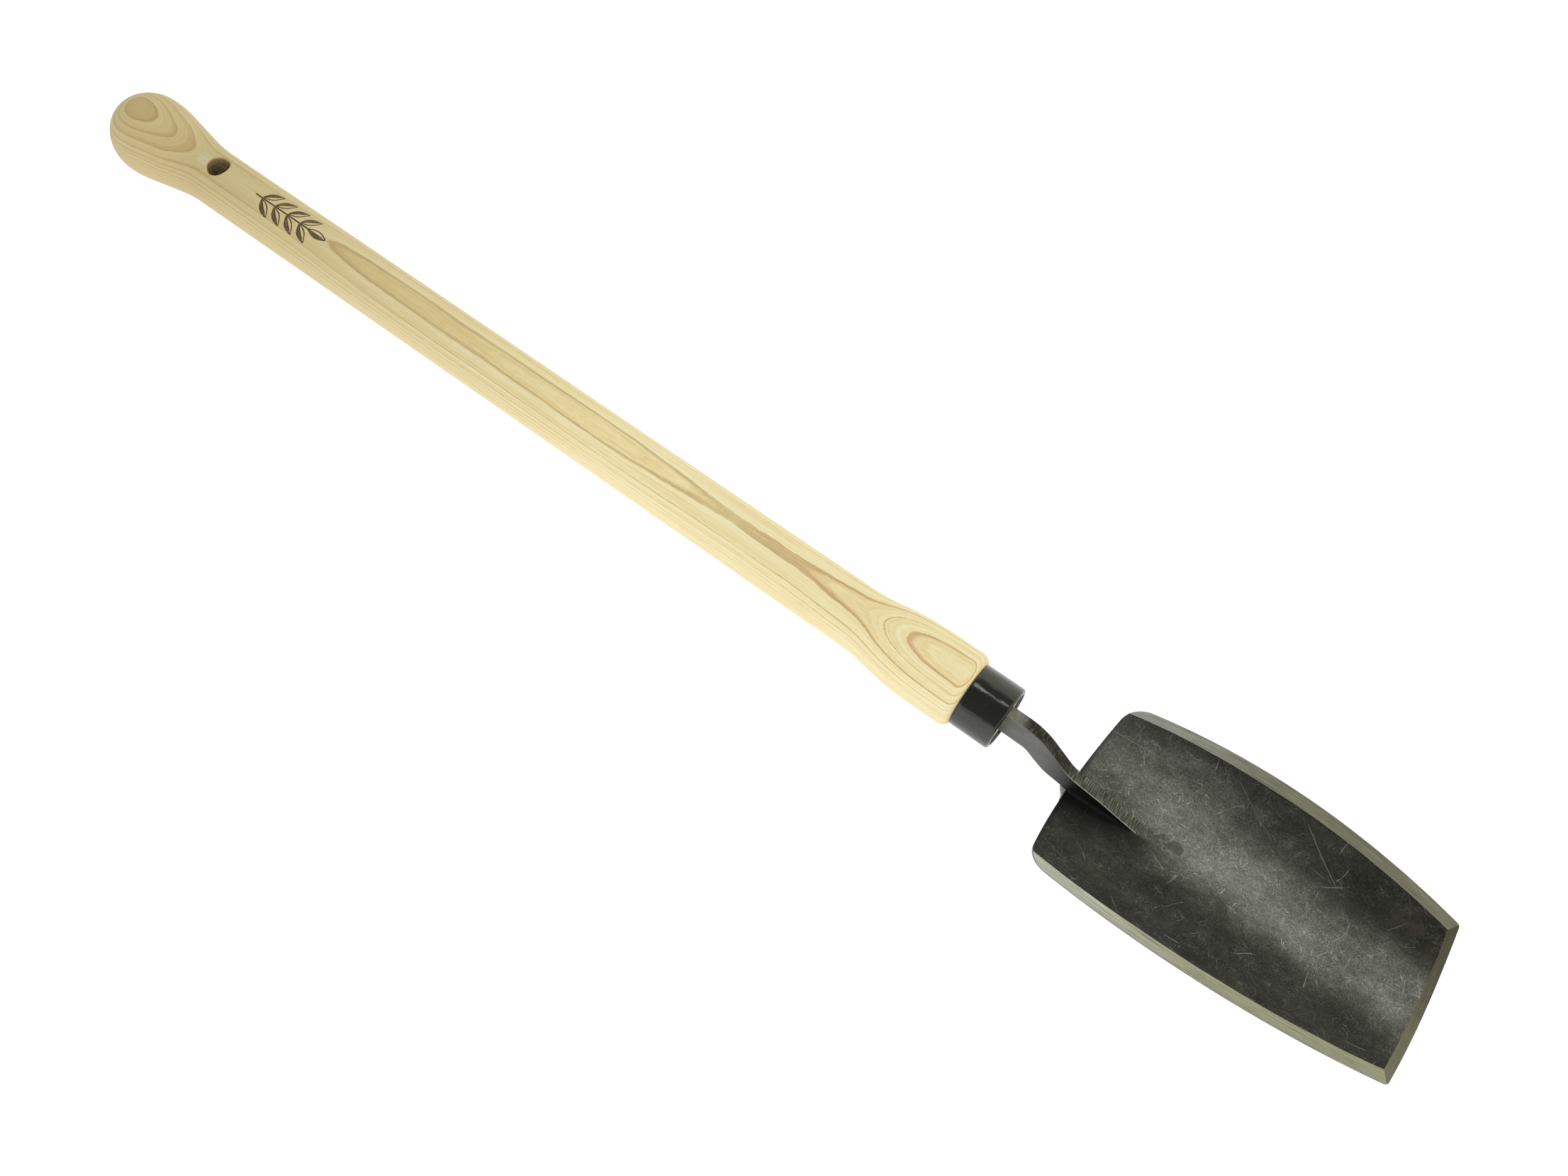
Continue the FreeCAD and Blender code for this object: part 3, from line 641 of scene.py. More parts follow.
def make_handle(wood):
    """The turned handle: a lathe grid with the hang hole let into it through two round patches.

    It is built as (distance from the tip, across, height), with the hole upright, then turned.
    """
    steps = 128
    patch_half = 14                     # half a patch's width in grid steps
    patch_reach = 10.0                  # half its length in mm
    patch_steps = 2 * patch_half
    patch_levels = 7                    # rows from a patch's edge to the hole's rounded rim
    rim_levels = 5
    wall_levels = 8

    def at(s, r, angle):
        return s, -r * sin(angle), r * cos(angle)

    knob = [KNOB_RADIUS * (1 - cos(radians(3.75 * k))) for k in range(1, 24)]
    to_patch = [KNOB_RADIUS + 1.48 * k for k in range(30)]
    patch = [HOLE_S - patch_reach + 2 * patch_reach * k / patch_steps
             for k in range(patch_steps + 1)]
    shaft = [HOLE_S + patch_reach + 4.0 * k for k in range(1, 95)]
    last = WOOD_END - SHOULDER_ROUND
    flare = [shaft[-1] + (last - shaft[-1]) * k / 40 for k in range(1, 41)]
    shoulder = [last + SHOULDER_ROUND * sin(radians(7.5 * k)) for k in range(1, 12)]
    spigot_end = handle_high.x - TIP_X
    bore_end = spigot_end - BORE_DEPTH
    outline = [(0.0, 0.0)]
    outline += [(s, wood_radius(s)) for s in knob + to_patch + patch + shaft + flare + shoulder]
    outline += [
        (WOOD_END, FLARE_RADIUS - SHOULDER_ROUND),
        (WOOD_END, SPIGOT_RADIUS),
        (spigot_end, SPIGOT_RADIUS),
        (spigot_end, BORE_RADIUS),
        (bore_end, BORE_RADIUS),
        (bore_end - DRILL_TIP, 0.0),
    ]
    points, rings = turned(outline, steps, at)
    first_patch = 1 + len(knob) + len(to_patch)
    last_patch = first_patch + patch_steps

    faces = []
    for i, (first, second) in enumerate(zip(rings, rings[1:])):
        for j, face in enumerate(strip_faces(first, second)):
            from_top = min(j, steps - 1 - j)
            on_side = patch_half <= from_top < steps // 2 - patch_half
            if on_side or not first_patch <= i < last_patch:
                faces.append(face)

    # each patch narrows from its square edge to the rim, which rolls over into the hole
    levels = [(k / patch_levels, HOLE_RADIUS + HOLE_ROUND, 0.0)
              for k in range(1, patch_levels + 1)]
    for k in range(1, rim_levels + 1):
        bend = pi / 2 * k / rim_levels
        levels.append((1.0, HOLE_RADIUS + HOLE_ROUND * (1 - sin(bend)),
                       HOLE_ROUND * (1 - cos(bend))))

    def add_row(first, spots):
        """Adds a ring of new points and the faces from the ring before it."""
        row = list(range(len(points), len(points) + len(spots)))
        points.extend(spots)
        faces.extend(strip_faces(first, row))
        return row

    mouths = []
    for side, middle in ((1, 0), (-1, steps // 2)):
        low, high = middle - patch_half, middle + patch_half
        edge = [(first_patch, j) for j in range(low, high)]
        edge += [(i, high) for i in range(first_patch, last_patch)]
        edge += [(last_patch, j) for j in range(high, low, -1)]
        edge += [(i, low) for i in range(last_patch, first_patch, -1)]
        previous = [rings[i][j % steps] for i, j in edge]
        start = [Vector(points[number][:2]) - Vector((HOLE_S, 0)) for number in previous]
        for share, reach, drop in levels:
            row = []
            for corner in start:
                s, across = corner.lerp(corner.normalized() * reach, share)
                height = sqrt(wood_radius(HOLE_S + s) ** 2 - across ** 2) - drop
                row.append((HOLE_S + s, across, side * height))
            previous = add_row(previous, row)
        mouths.append(previous)

    # the hole's wall joins each point of the top mouth to the one straight below it
    top_mouth, low_mouth = mouths
    matched = [min(low_mouth, key=lambda other: dist(points[other][:2], points[number][:2]))
               for number in top_mouth]
    previous = top_mouth
    for k in range(1, wall_levels):
        row = [tuple(Vector(points[top]).lerp(Vector(points[low]), k / wall_levels))
               for top, low in zip(top_mouth, matched)]
        previous = add_row(previous, row)
    faces += strip_faces(previous, matched)

    cosine, sine = cos(HOLE_TURN), sin(HOLE_TURN)
    points = [(TIP_X + s, across * cosine - height * sine,
               AXIS_Z + across * sine + height * cosine) for s, across, height in points]
    make_part("handle", "ash", "ash_handle", points, faces, [wood], crisp=50)


# ------------------------------------------------------------------ ferrule

def make_black():
    """Glossy black coating with a faint ripple, dust and small scuffs."""
    s = Shader("black_coating")
    place = s.place()
    x, _, _ = s.separate(place)
    ripple = s.noise(place, (8, 3.0, 3.0), detail=1.5)
    dust = s.noise(place, (0.35, 0.35, 0.35), detail=1.0)
    specks = s.step(0.72, 0.80, dust)
    smear = s.noise(place, (9, 3, 3), detail=4.0, roughness=0.7)
    near_wood = s.step(SHOULDER_X + 2.0, SHOULDER_X, x)
    chips = near_wood * s.step(0.52, 0.66, smear)
    light = specks * 0.25 + chips * 0.35
    colour = s.mix(light, (0.007, 0.007, 0.007), (0.16, 0.16, 0.15))
    roughness = smear * 0.16 + 0.07 + specks * 0.2
    normal = s.bump(ripple, 0.20)
    normal = s.bump(smear, 0.015, normal)
    return s.finish(colour, roughness, normal, Specular_IOR_Level=0.72,
                    Specular_Tint=(0.96, 1.0, 0.9, 1))


def make_ferrule(black):
    """A short sleeve with a rolled front edge and a slightly ragged rear edge."""
    outer = (ferrule_high.z - ferrule_low.z) / 2
    length = ferrule_high.x - ferrule_low.x
    rear = 0.35                         # size of the small rounding at the rear
    rounding = 1.6
    inner_rounding = 0.35
    outline = [(0.0, SPIGOT_RADIUS), (0.0, outer - rear), (0.12, outer - 0.1), (rear, outer)]
    outline += [(rear + (length - rounding - rear) * k / 12, outer) for k in range(1, 13)]
    for k in range(1, 9):
        bend = pi / 2 * k / 8
        outline.append((length - rounding * (1 - sin(bend)),
                        outer - rounding * (1 - cos(bend))))
    for k in range(1, 4):
        bend = pi / 2 * k / 3
        outline.append((length - inner_rounding * (1 - cos(bend)),
                        SPIGOT_RADIUS + inner_rounding * (1 - sin(bend))))
    outline.append((length * 0.5, SPIGOT_RADIUS))

    def at(x, r, angle):
        ragged = 0.0
        if x < 0.5 and r > SPIGOT_RADIUS + 0.5:
            ragged = 0.16 + 0.16 * rough(14 * cos(angle), 14 * sin(angle), 0, 1.7)
        return (SHOULDER_X + x + ragged, -r * sin(angle), AXIS_Z + r * cos(angle))

    points, rings = turned(outline, 144, at)
    faces = []
    for first, second in zip(rings, rings[1:] + rings[:1]):
        faces += strip_faces(first, second)
    make_part("ferrule", "black_ferrule", "black_ferrule", points, faces, [black], crisp=60)


# ------------------------------------------------------------------ neck and fin

def make_bar_side():
    """The flat side of the bar: smooth mid grey, with painted shade making it nearly black towards the blade and over
    the fin.
    """
    s = Shader("bar_side_steel")
    place = s.place()
    x, _, z = s.separate(place)
    cloud = s.noise(place, (9, 4, 4), detail=4.0, roughness=0.6)
    grain = s.noise(place, (0.45, 0.45, 0.45), detail=2.0)
    colour = s.ramp(cloud, (0.25, (0.110, 0.113, 0.102)), (0.75, (0.170, 0.174, 0.158)))
    # painted shade: the side goes nearly black towards the blade, where the fin stands in shadow
    fin_side_shade = s.step(SHOULDER_X + 34, SHOULDER_X + 60, x)
    colour = s.mix(fin_side_shade * 0.95, colour, (0.1, 0.1, 0.1), "MULTIPLY")
    colour = s.overlay(0.35, colour, grain, (0.3, 0.38), (0.7, 0.62))
    marks = s.scratches(s.combine(x, z, 0.0), 5.0, 4.0, 0.12, share=0.35)
    colour = s.mix(marks * 0.25, colour, (0.45, 0.45, 0.42))
    roughness = cloud * 0.2 + 0.4
    return s.finish(colour, roughness, s.bump(grain, 0.03), Metallic=0.75)


def make_bar_edge():
    """The sheared edge of the bar: scored across, light by the ferrule, brown in the middle."""
    s = Shader("bar_edge_steel")
    place = s.place()
    x, y, z = s.separate(place)
    run = x - z * 0.55
    skew = run + y * 0.08
    fine = s.noise((skew, y, 3.0), (0.3, 11.0, 1), detail=1.0, roughness=0.6)
    coarse = s.noise((skew, y, 9.0), (0.62, 4.5, 1), detail=3.0, roughness=0.65)
    lumps = s.noise(place, (2.2, 1.6, 1.6), detail=4.0, roughness=0.65)
    start = SHOULDER_X + 19
    fresh = s.step(start + 11, start + 4, x)
    fin = s.step(start + 30, start + 38, x)
    score = s.mix(fin, coarse, fine)
    tone = s.ramp(score, (0.36, (0.016, 0.016, 0.013)), (0.50, (0.068, 0.069, 0.060)),
                  (0.66, (0.31, 0.315, 0.285)))
    dark = s.ramp(lumps, (0.38, (0.008, 0.007, 0.006)), (0.55, (0.025, 0.021, 0.018)),
                  (0.70, (0.11, 0.105, 0.092)))
    middle = (1.0 - fresh) * (1.0 - fin)
    colour = s.mix(middle * 0.75, tone, dark)
    colour = s.mix(fresh * 0.38, colour, (0.46, 0.465, 0.43))
    near_arris = s.step(-2.3, -2.8, y) * (fin * 0.5 + 0.3)
    colour = s.mix(near_arris, colour, (0.5, 0.5, 0.46))
    height = score * 0.7 + lumps * 0.3
    roughness = lumps * 0.25 + 0.38
    return s.finish(colour, roughness, s.bump(height, 0.25), Metallic=0.8)


def rounded_path(corners, spacing):
    """Points along a path of straight runs; corners are (x, z, radius) and radius 0 stays sharp."""
    path = [Vector(corners[0][:2])]
    for before, (x, z, radius), after in zip(corners, corners[1:], corners[2:]):
        corner = Vector((x, z))
        back = (Vector(before[:2]) - corner).normalized()
        on = (Vector(after[:2]) - corner).normalized()
        if radius == 0:
            path.append(corner)
            continue
        half = back.angle(on) / 2
        tangent = radius / tan(half)
        centre = corner + (back + on).normalized() * (radius / sin(half))
        first = corner + back * tangent - centre
        sweep = first.angle_signed(corner + on * tangent - centre)
        steps = max(3, int(radius * abs(sweep) / spacing))
        for k in range(steps + 1):
            turn = -sweep * k / steps
            path.append(centre + Matrix.Rotation(turn, 2) @ first)
    path.append(Vector(corners[-1][:2]))
    return path


def spread(path, count):
    """The path's points again, evenly spaced."""
    lengths = [0.0]
    for first, second in zip(path, path[1:]):
        lengths.append(lengths[-1] + (second - first).length)
    result = []
    spot = 0
    for k in range(count):
        wanted = lengths[-1] * k / (count - 1)
        while spot < len(path) - 2 and lengths[spot + 1] < wanted:
            spot += 1
        run = lengths[spot + 1] - lengths[spot]
        share = (wanted - lengths[spot]) / run if run else 0.0
        result.append(path[spot].lerp(path[spot + 1], share))
    return result


def blade_top_z(x, y):
    """Height of the blade's hollow face above a point of its plan, in the CAD frame."""
    local_z = DISH_RADIUS - sqrt(DISH_RADIUS ** 2 - y ** 2)
    local_x = (x - BLADE_X - sin(BLADE_PITCH) * local_z) / cos(BLADE_PITCH)
    return BLADE_Z + sin(BLADE_PITCH) * local_x + cos(BLADE_PITCH) * local_z


def make_neck(side_steel, edge_steel):
    """Tang, neck and fin: one bar on edge, drawn in side view and given its thickness.

    The side view is measured along X from the ferrule's rear and up from the handle's axis.
    """
    half = 2.94                         # half the bar's thickness, with the wear taken off
    sunk = 0.5                          # how far the fin's foot goes into the plate
    stations = 150
    spigot_end = handle_high.x - SHOULDER_X
    toe_x = BLADE_X - SHOULDER_X + 0.15
    fin_end = neck_high.x - SHOULDER_X - 0.3
    tang_tip = neck_low.x - SHOULDER_X
    tang_root = spigot_end - 0.6
    top = [
        (spigot_end, 6.9, 0), (34.55, 6.9, 28), (53.95, -5.3, 18), (69.5, -7.5, 0),
        (fin_end, -11.52, 0),
    ]
    low = [(spigot_end, -5.75, 0), (31.65, -5.75, 10), (42.65, -11.9, 14), (toe_x, -14.2, 0)]
    foot = [Vector((x, blade_top_z(SHOULDER_X + x, 0) - AXIS_Z - sunk)) for x in (toe_x, fin_end)]
    top_row = [Vector((tang_tip, 2.0)), Vector((tang_root, 5.0))]
    top_row += spread(rounded_path(top, 0.6), stations)
    low_row = [Vector((tang_tip, -2.0)), Vector((tang_root, -5.0))]
    low_row += spread(rounded_path(low, 0.6) + foot, stations)

    # a closed ring of points round the bar at each station: up one side, over, down and back
    levels, across = 6, 4
    lap = [(-1, k / levels) for k in range(levels)]
    lap += [(2 * m / across - 1, 1.0) for m in range(across)]
    lap += [(1, 1 - k / levels) for k in range(levels)]
    lap += [(1 - 2 * m / across, 0.0) for m in range(across)]
    rows = []
    for low_spot, top_spot in zip(low_row, top_row):
        row = []
        for side, height in lap:
            spot = low_spot.lerp(top_spot, height)
            wear = 0.06 * rough(spot.x, copysign(9, side), spot.y, 5.0)
            row.append((SHOULDER_X + spot.x, side * (half + wear), AXIS_Z + spot.y))
        rows.append(row)
    points, faces = lofted(rows)
    lap_slots = [0] * levels + [1] * across
    faces = [(corners, lap_slots[k % len(lap_slots)] if len(corners) == 4 else 1)
             for k, (corners, _) in enumerate(faces)]
    piece = make_part("neck_tang", "bar_steel", "neck_bar", points, faces,
                      [side_steel, edge_steel])
    soften(piece, 0.28, 50)


# ------------------------------------------------------------------ blade

BLADE_X = blade_low.x
BLADE_Z = 7.3
BLADE_PITCH = radians(3.6)
BLADE_LENGTH = 160.3
PLATE = 2.0
DISH_RADIUS = 105.0
REAR_RADIUS = 310.0
REAR_HALF = 46.5
SIDE_RADIUS = 378.0
FRONT_RADIUS = 262.0
FRONT_HALF = 40.3
BEVEL_REAR = 4.3
BEVEL_FRONT = 5.6
FRONT_BEVEL = 4.0
BEVEL_DEPTH = 1.55
REAR_ROUND = 12.0
FRONT_ROUND = 2.2


def make_blade_scale():
    """Dark oiled mill scale with many short curled scratches and a lighter middle, partly rubbed and partly a painted
    reflection of the light along the hollow.
    """
    s = Shader("blade_scale")
    place = s.place()
    x, y, _ = s.separate(place)
    flat = s.combine(x, y, 0.0)
    length = (x - BLADE_X) / BLADE_LENGTH

    mottle = s.noise(place, (24, 15, 60), detail=5.0, roughness=0.65)
    cloud = s.noise(place, (7, 5, 30), detail=4.0, roughness=0.6)
    grit = s.noise(place, (0.55, 0.55, 0.55), detail=3.0, roughness=0.75)
    fuzz = s.noise(place, (1.6, 1.6, 1.6), detail=4.0, roughness=0.75, distortion=1.5)

    # the middle of the hollow is painted lighter, partly rubbing and partly a painted reflection of the light along
    # it, more so towards the front; the far side is scuffed
    middle = s.step(26, 2, abs(y + length * 10.0 - 9.0)) * s.step(-0.1, 0.55, length)
    far = s.step(-7, 6, y) * s.step(48, 36, y) * s.step(0.75, 0.15, length)
    wear_and_reflection = middle * 0.75 + far * 0.46
    wear_and_reflection = s.clamp(wear_and_reflection * (mottle * 2.2 - 0.25))

    base = s.ramp(mottle * 0.6 + cloud * 0.4, (0.32, (0.02, 0.0205, 0.017)),
                  (0.5, (0.036, 0.037, 0.031)), (0.72, (0.064, 0.066, 0.057)))
    colour = s.mix(wear_and_reflection, base, (0.25, 0.256, 0.228))
    colour = s.overlay(0.8, colour, grit, (0.32, 0.26), (0.68, 0.7))
    colour = s.overlay(0.6, colour, fuzz, (0.35, 0.3), (0.65, 0.66))

    def layer(shift, cell, length_mm, width, **shape):
        return s.scratches(s.vector("ADD", flat, shift), cell, length_mm, width, **shape)

    tiny = s.highest(layer((0, 0, 0), 1.5, 1.4, 0.18, bend=0.5, share=0.5),
                     layer((3, 71, 0), 2.3, 2.6, 0.17, bend=0.35, share=0.45))
    small = s.highest(layer((31, 57, 0), 4.2, 5.0, 0.19, bend=0.16, share=0.45),
                      layer((-77, 13, 0), 6.4, 7.0, 0.2, bend=0.08, share=0.45))
    cross = layer((9, -41, 0), 11.0, 11.0, 0.20, bend=0.035, share=0.5)
    lasting = layer((5, 88, 0), 34.0, 32.0, 0.20, bend=0.006, share=0.5, turn=0.7, lean=-0.4)

    def scuffs(degrees, seed):
        """Fine straight scuff marks that all lean one way."""
        cosine, sine = cos(radians(degrees)), sin(radians(degrees))
        along = x * cosine + y * sine
        across = y * cosine - x * sine
        streaks = s.noise((along, across, seed), (5.0, 0.32, 1), detail=1.0)
        return s.step(0.60, 0.80, streaks)

    clumps = s.step(0.44, 0.64, s.noise(place, (9, 7, 40), detail=4.0))
    strength = s.step(0.38, 0.72, s.noise(place, (2.6, 2.6, 40), detail=2.0))
    busy = s.highest(s.clamp(wear_and_reflection + clumps * 0.35), 0.13)
    fine = s.highest(scuffs(25, 1.0), scuffs(80, 5.0), scuffs(-35, 9.0), scuffs(140, 14.0))
    lines = s.highest(tiny * (strength * 0.42 + 0.16), small * (strength * 0.85 + 0.15),
                      fine * 0.42)
    specks = s.step(0.57, 0.72, grit) * busy * 0.75
    lines = s.highest(lines * busy, cross * (clumps * 0.35 + 0.12), lasting * 0.3, specks)

    # one smooth oval that the rubbing has missed
    size = s.root_of_squares((x - (BLADE_X + 48.5)) / 6.2, (y - 1.5) / 3.4)
    size = size + cloud * 2.6 - 1.3
    smooth = s.step(1.0, 0.9, size)
    rim = s.step(0.85, 0.95, size) * s.step(1.18, 1.02, size)
    lines = lines * (1.0 - smooth * 0.9)
    lines = s.highest(lines, rim * 0.16)
    colour = s.mix(smooth * 0.6, colour, (0.1, 0.104, 0.092))
    colour = s.mix(lines, colour, (0.7, 0.715, 0.67))

    # painted shade on the plate beside the near side of the fin's root, where the fin casts shadow
    fin_root_shade = s.step(-20, -5, y) * s.step(-1.5, -4.0, y) * s.step(0.32, 0.18, length)
    colour = s.mix(fin_root_shade * 0.85, colour, (0.008, 0.008, 0.007))

    # a blue-black line where the plate was sheared at the rear, and a brown bloom by a corner
    rear = s.step(0.020, 0.004, length)
    colour = s.mix(rear * 0.7, colour, (0.018, 0.018, 0.028))
    bloom = s.step(0.78, 0.98, length) * s.step(8, 30, y) * s.step(0.42, 0.62, cloud)
    colour = s.mix(bloom * 0.35, colour, (0.1, 0.07, 0.05))

    height = (grit - lines) * 0.5
    normal = s.bump(height, 0.05)
    normal = s.bump(mottle, 0.25, normal)
    roughness = 0.6 - wear_and_reflection * 0.1
    return s.finish(colour, roughness, normal, Metallic=0.8)


def make_ground_steel(name, tint, along_edge, far_side_shade):
    """Bare steel ground along its edge: pale green-grey, fine lines, a few brown streaks, and painted shade towards
    the far side.
    """
    s = Shader(name)
    place = s.place()
    x, y, _ = s.separate(place)
    if along_edge == "side":
        along = x
        across = s.root_of_squares(x - (BLADE_X + SIDE_CENTRE.x), abs(y) - SIDE_CENTRE.y)
    else:
        along = y
        across = x + y * y * 0.0019
    grinding = s.noise((along, across, s.calc("SIGN", y)), (26.0, 0.3, 1), detail=3.0,
                       roughness=0.7)
    streaks = s.noise((along, across, s.calc("SIGN", y)), (18.0, 0.8, 1), detail=2.0)
    patches = s.noise(place, (12, 6, 12), detail=3.0)
    colour = s.ramp(grinding, (0.32, (0.22, 0.215, 0.150)), (0.68, (0.50, 0.49, 0.36)))
    colour = s.mix(s.step(0.56, 0.68, streaks) * 0.4, colour, (0.15, 0.12, 0.07))
    colour = s.overlay(0.4, colour, patches, (0.3, 0.38), (0.7, 0.6))
    colour = s.mix(1.0, colour, tint, "MULTIPLY")
    if along_edge == "side":
        silver = s.ramp((x - BLADE_X) / BLADE_LENGTH, (0.05, (1.36, 1.43, 1.82)),
                        (0.5, (0.9, 0.925, 0.92)))
        colour = s.mix(1.0, colour, silver, "MULTIPLY")
    # painted shade: the bevel is darker towards the far side
    dull = s.step(-38, 36, y) * far_side_shade
    colour = s.mix(dull, colour, (0.36, 0.35, 0.37), "MULTIPLY")
    roughness = grinding * 0.2 + 0.4
    return s.finish(colour, roughness, s.bump(grinding, 0.035), Metallic=0.7)


def make_plate_edge():
    """The thin cut edges of the plate: dull grey."""
    s = Shader("plate_edge")
    place = s.place()
    grain = s.noise(place, (1.2, 1.2, 0.4), detail=3.0)
    colour = s.ramp(grain, (0.3, (0.10, 0.10, 0.10)), (0.7, (0.24, 0.24, 0.235)))
    return s.finish(colour, grain * 0.2 + 0.4, s.bump(grain, 0.04), Metallic=0.85)


def side_circle():
    """The arc along the plan's +Y side: its centre, its rear end and its front end."""
    rear_x = REAR_RADIUS - sqrt(REAR_RADIUS ** 2 - REAR_HALF ** 2)
    front_x = BLADE_LENGTH - FRONT_RADIUS + sqrt(FRONT_RADIUS ** 2 - FRONT_HALF ** 2)
    rear = Vector((rear_x, REAR_HALF))
    front = Vector((front_x, FRONT_HALF))
    chord = front - rear
    across = Vector((chord.y, -chord.x)).normalized()
    depth = sqrt(SIDE_RADIUS ** 2 - (chord.length / 2) ** 2)
    return (rear + front) / 2 + across * depth, rear, front


SIDE_CENTRE, SIDE_REAR, SIDE_FRONT = side_circle()


def blade_outline():
    """The blade's rounded plan, from the middle of its rear edge round its +Y side, in mm."""
    rear_centre = Vector((REAR_RADIUS, 0.0))
    front_centre = Vector((BLADE_LENGTH - FRONT_RADIUS, 0.0))

    def corner_centre(end_centre, end_radius, rounding, spot):
        """Centre of the circle that touches both edges inside the corner, by walking to it."""
        for _ in range(60):
            for centre, radius in ((end_centre, end_radius), (SIDE_CENTRE, SIDE_RADIUS)):
                spot = centre + (spot - centre).normalized() * (radius - rounding)
        return spot

    def swing(centre, start, end, count):
        """Points from start to just before end on the circle round centre."""
        first = atan2(start.y - centre.y, start.x - centre.x)
        turn = atan2(end.y - centre.y, end.x - centre.x) - first
        turn -= 2 * pi * round(turn / (2 * pi))
        radius = (start - centre).length
        angles = [first + turn * k / count for k in range(count)]
        return [centre + radius * Vector((cos(a), sin(a))) for a in angles]

    def touch(centre, radius, corner):
        return centre + (corner - centre).normalized() * radius

    rear_corner = corner_centre(rear_centre, REAR_RADIUS, REAR_ROUND,
                                SIDE_REAR + Vector((12, -12)))
    front_corner = corner_centre(front_centre, FRONT_RADIUS, FRONT_ROUND,
                                 SIDE_FRONT + Vector((-3, -3)))
    rear_touch = touch(rear_centre, REAR_RADIUS, rear_corner)
    rear_side = touch(SIDE_CENTRE, SIDE_RADIUS, rear_corner)
    front_side = touch(SIDE_CENTRE, SIDE_RADIUS, front_corner)
    front_touch = touch(front_centre, FRONT_RADIUS, front_corner)
    rear_middle = Vector((0.0, 0.0))
    front_middle = Vector((BLADE_LENGTH, 0.0))
    far = (swing(rear_centre, rear_middle, rear_touch, 36)[1:]
           + swing(rear_corner, rear_touch, rear_side, 14)
           + swing(SIDE_CENTRE, rear_side, front_side, 110)
           + swing(front_corner, front_side, front_touch, 6)
           + swing(front_centre, front_touch, front_middle, 34))
    near = [Vector((p.x, -p.y)) for p in reversed(far)]
    return [rear_middle] + far + [front_middle] + near


def wave(p, seed):
    """How far a bevel's inner line wanders, in mm."""
    return 0.11 * rough(p.x, p.y, seed, 9.0) + 0.05 * rough(p.x, p.y, seed, 2.5)


def side_share(p):
    """0 on a side bevel's inner line, 1 on the side edge, negative inside."""
    depth = SIDE_RADIUS - (Vector((p.x, abs(p.y))) - SIDE_CENTRE).length
    # the side bevels are a little narrower at the rear
    width = BEVEL_REAR + (BEVEL_FRONT - BEVEL_REAR) * smoothstep(0.0, 0.45 * BLADE_LENGTH, p.x)
    return (width - depth + wave(p, 3.0)) / width


def front_share(p):
    """The same for the front bevel."""
    depth = FRONT_RADIUS - (p - Vector((BLADE_LENGTH - FRONT_RADIUS, 0.0))).length
    return (FRONT_BEVEL - depth + wave(p, 8.0)) / FRONT_BEVEL


def find(start, end, test):
    """The last point from start towards end where the test holds, by halving the gap."""
    low, high = 0.0, 1.0
    for _ in range(40):
        mid = (low + high) / 2
        if test(start.lerp(end, mid)):
            low = mid
        else:
            high = mid
    return start.lerp(end, low)


def is_inside(p, outline):
    """Whether a plan point is inside the outline: an odd number of its edges lie beyond it."""
    odd = False
    for a, b in zip(outline, outline[1:] + outline[:1]):
        if (a.y > p.y) != (b.y > p.y):
            if p.x < a.x + (p.y - a.y) / (b.y - a.y) * (b.x - a.x):
                odd = not odd
    return odd


def blade_lines(outline):
    """The plan's points and edges: its outline, both side bevel lines, and the front bevel line."""
    points = list(outline)
    edges = [(k, (k + 1) % len(outline)) for k in range(len(outline))]

    def add_line(line):
        """Joins these points by edges; returns the numbers of the first and the last."""
        first = len(points)
        points.extend(line)
        edges.extend((k, k + 1) for k in range(first, len(points) - 1))
        return first, len(points) - 1

    mitres = {}
    for sign in (1, -1):
        stations = [1.0 + (BLADE_LENGTH - 2.0) * k / 120 for k in range(121)]
        spots = [find(Vector((x, sign * 10.0)), Vector((x, sign * 70.0)),
                      lambda p: side_share(p) < 0) for x in stations]
        line = [p for p in spots if is_inside(p, outline) and front_share(p) < 0]
        before = spots.index(line[0])
        if before:
            # where the bevel line runs out through the rounded corner
            line.insert(0, find(spots[before - 1], line[0],
                                lambda p: not is_inside(p, outline)))
        corner = line[-1]
        for _ in range(30):
            corner = corner - Vector((0.0, sign)) * side_share(corner) * BEVEL_FRONT
            corner = corner - Vector((1.0, 0.0)) * front_share(corner) * FRONT_BEVEL
        _, mitres[sign] = add_line(line + [corner])
        tip = max(outline, key=lambda p: p.x + 2.2 * sign * p.y)
        edges.append((mitres[sign], outline.index(tip)))

    rows = [-60.0 + 120.0 * k / 70 for k in range(71)]
    spots = [find(Vector((60.0, y)), Vector((BLADE_LENGTH + 20.0, y)),
                  lambda p: front_share(p) < 0) for y in rows]
    first, last = add_line([p for p in spots if side_share(p) < -0.02])
    edges += [(mitres[-1], first), (last, mitres[1])]
    return points, edges


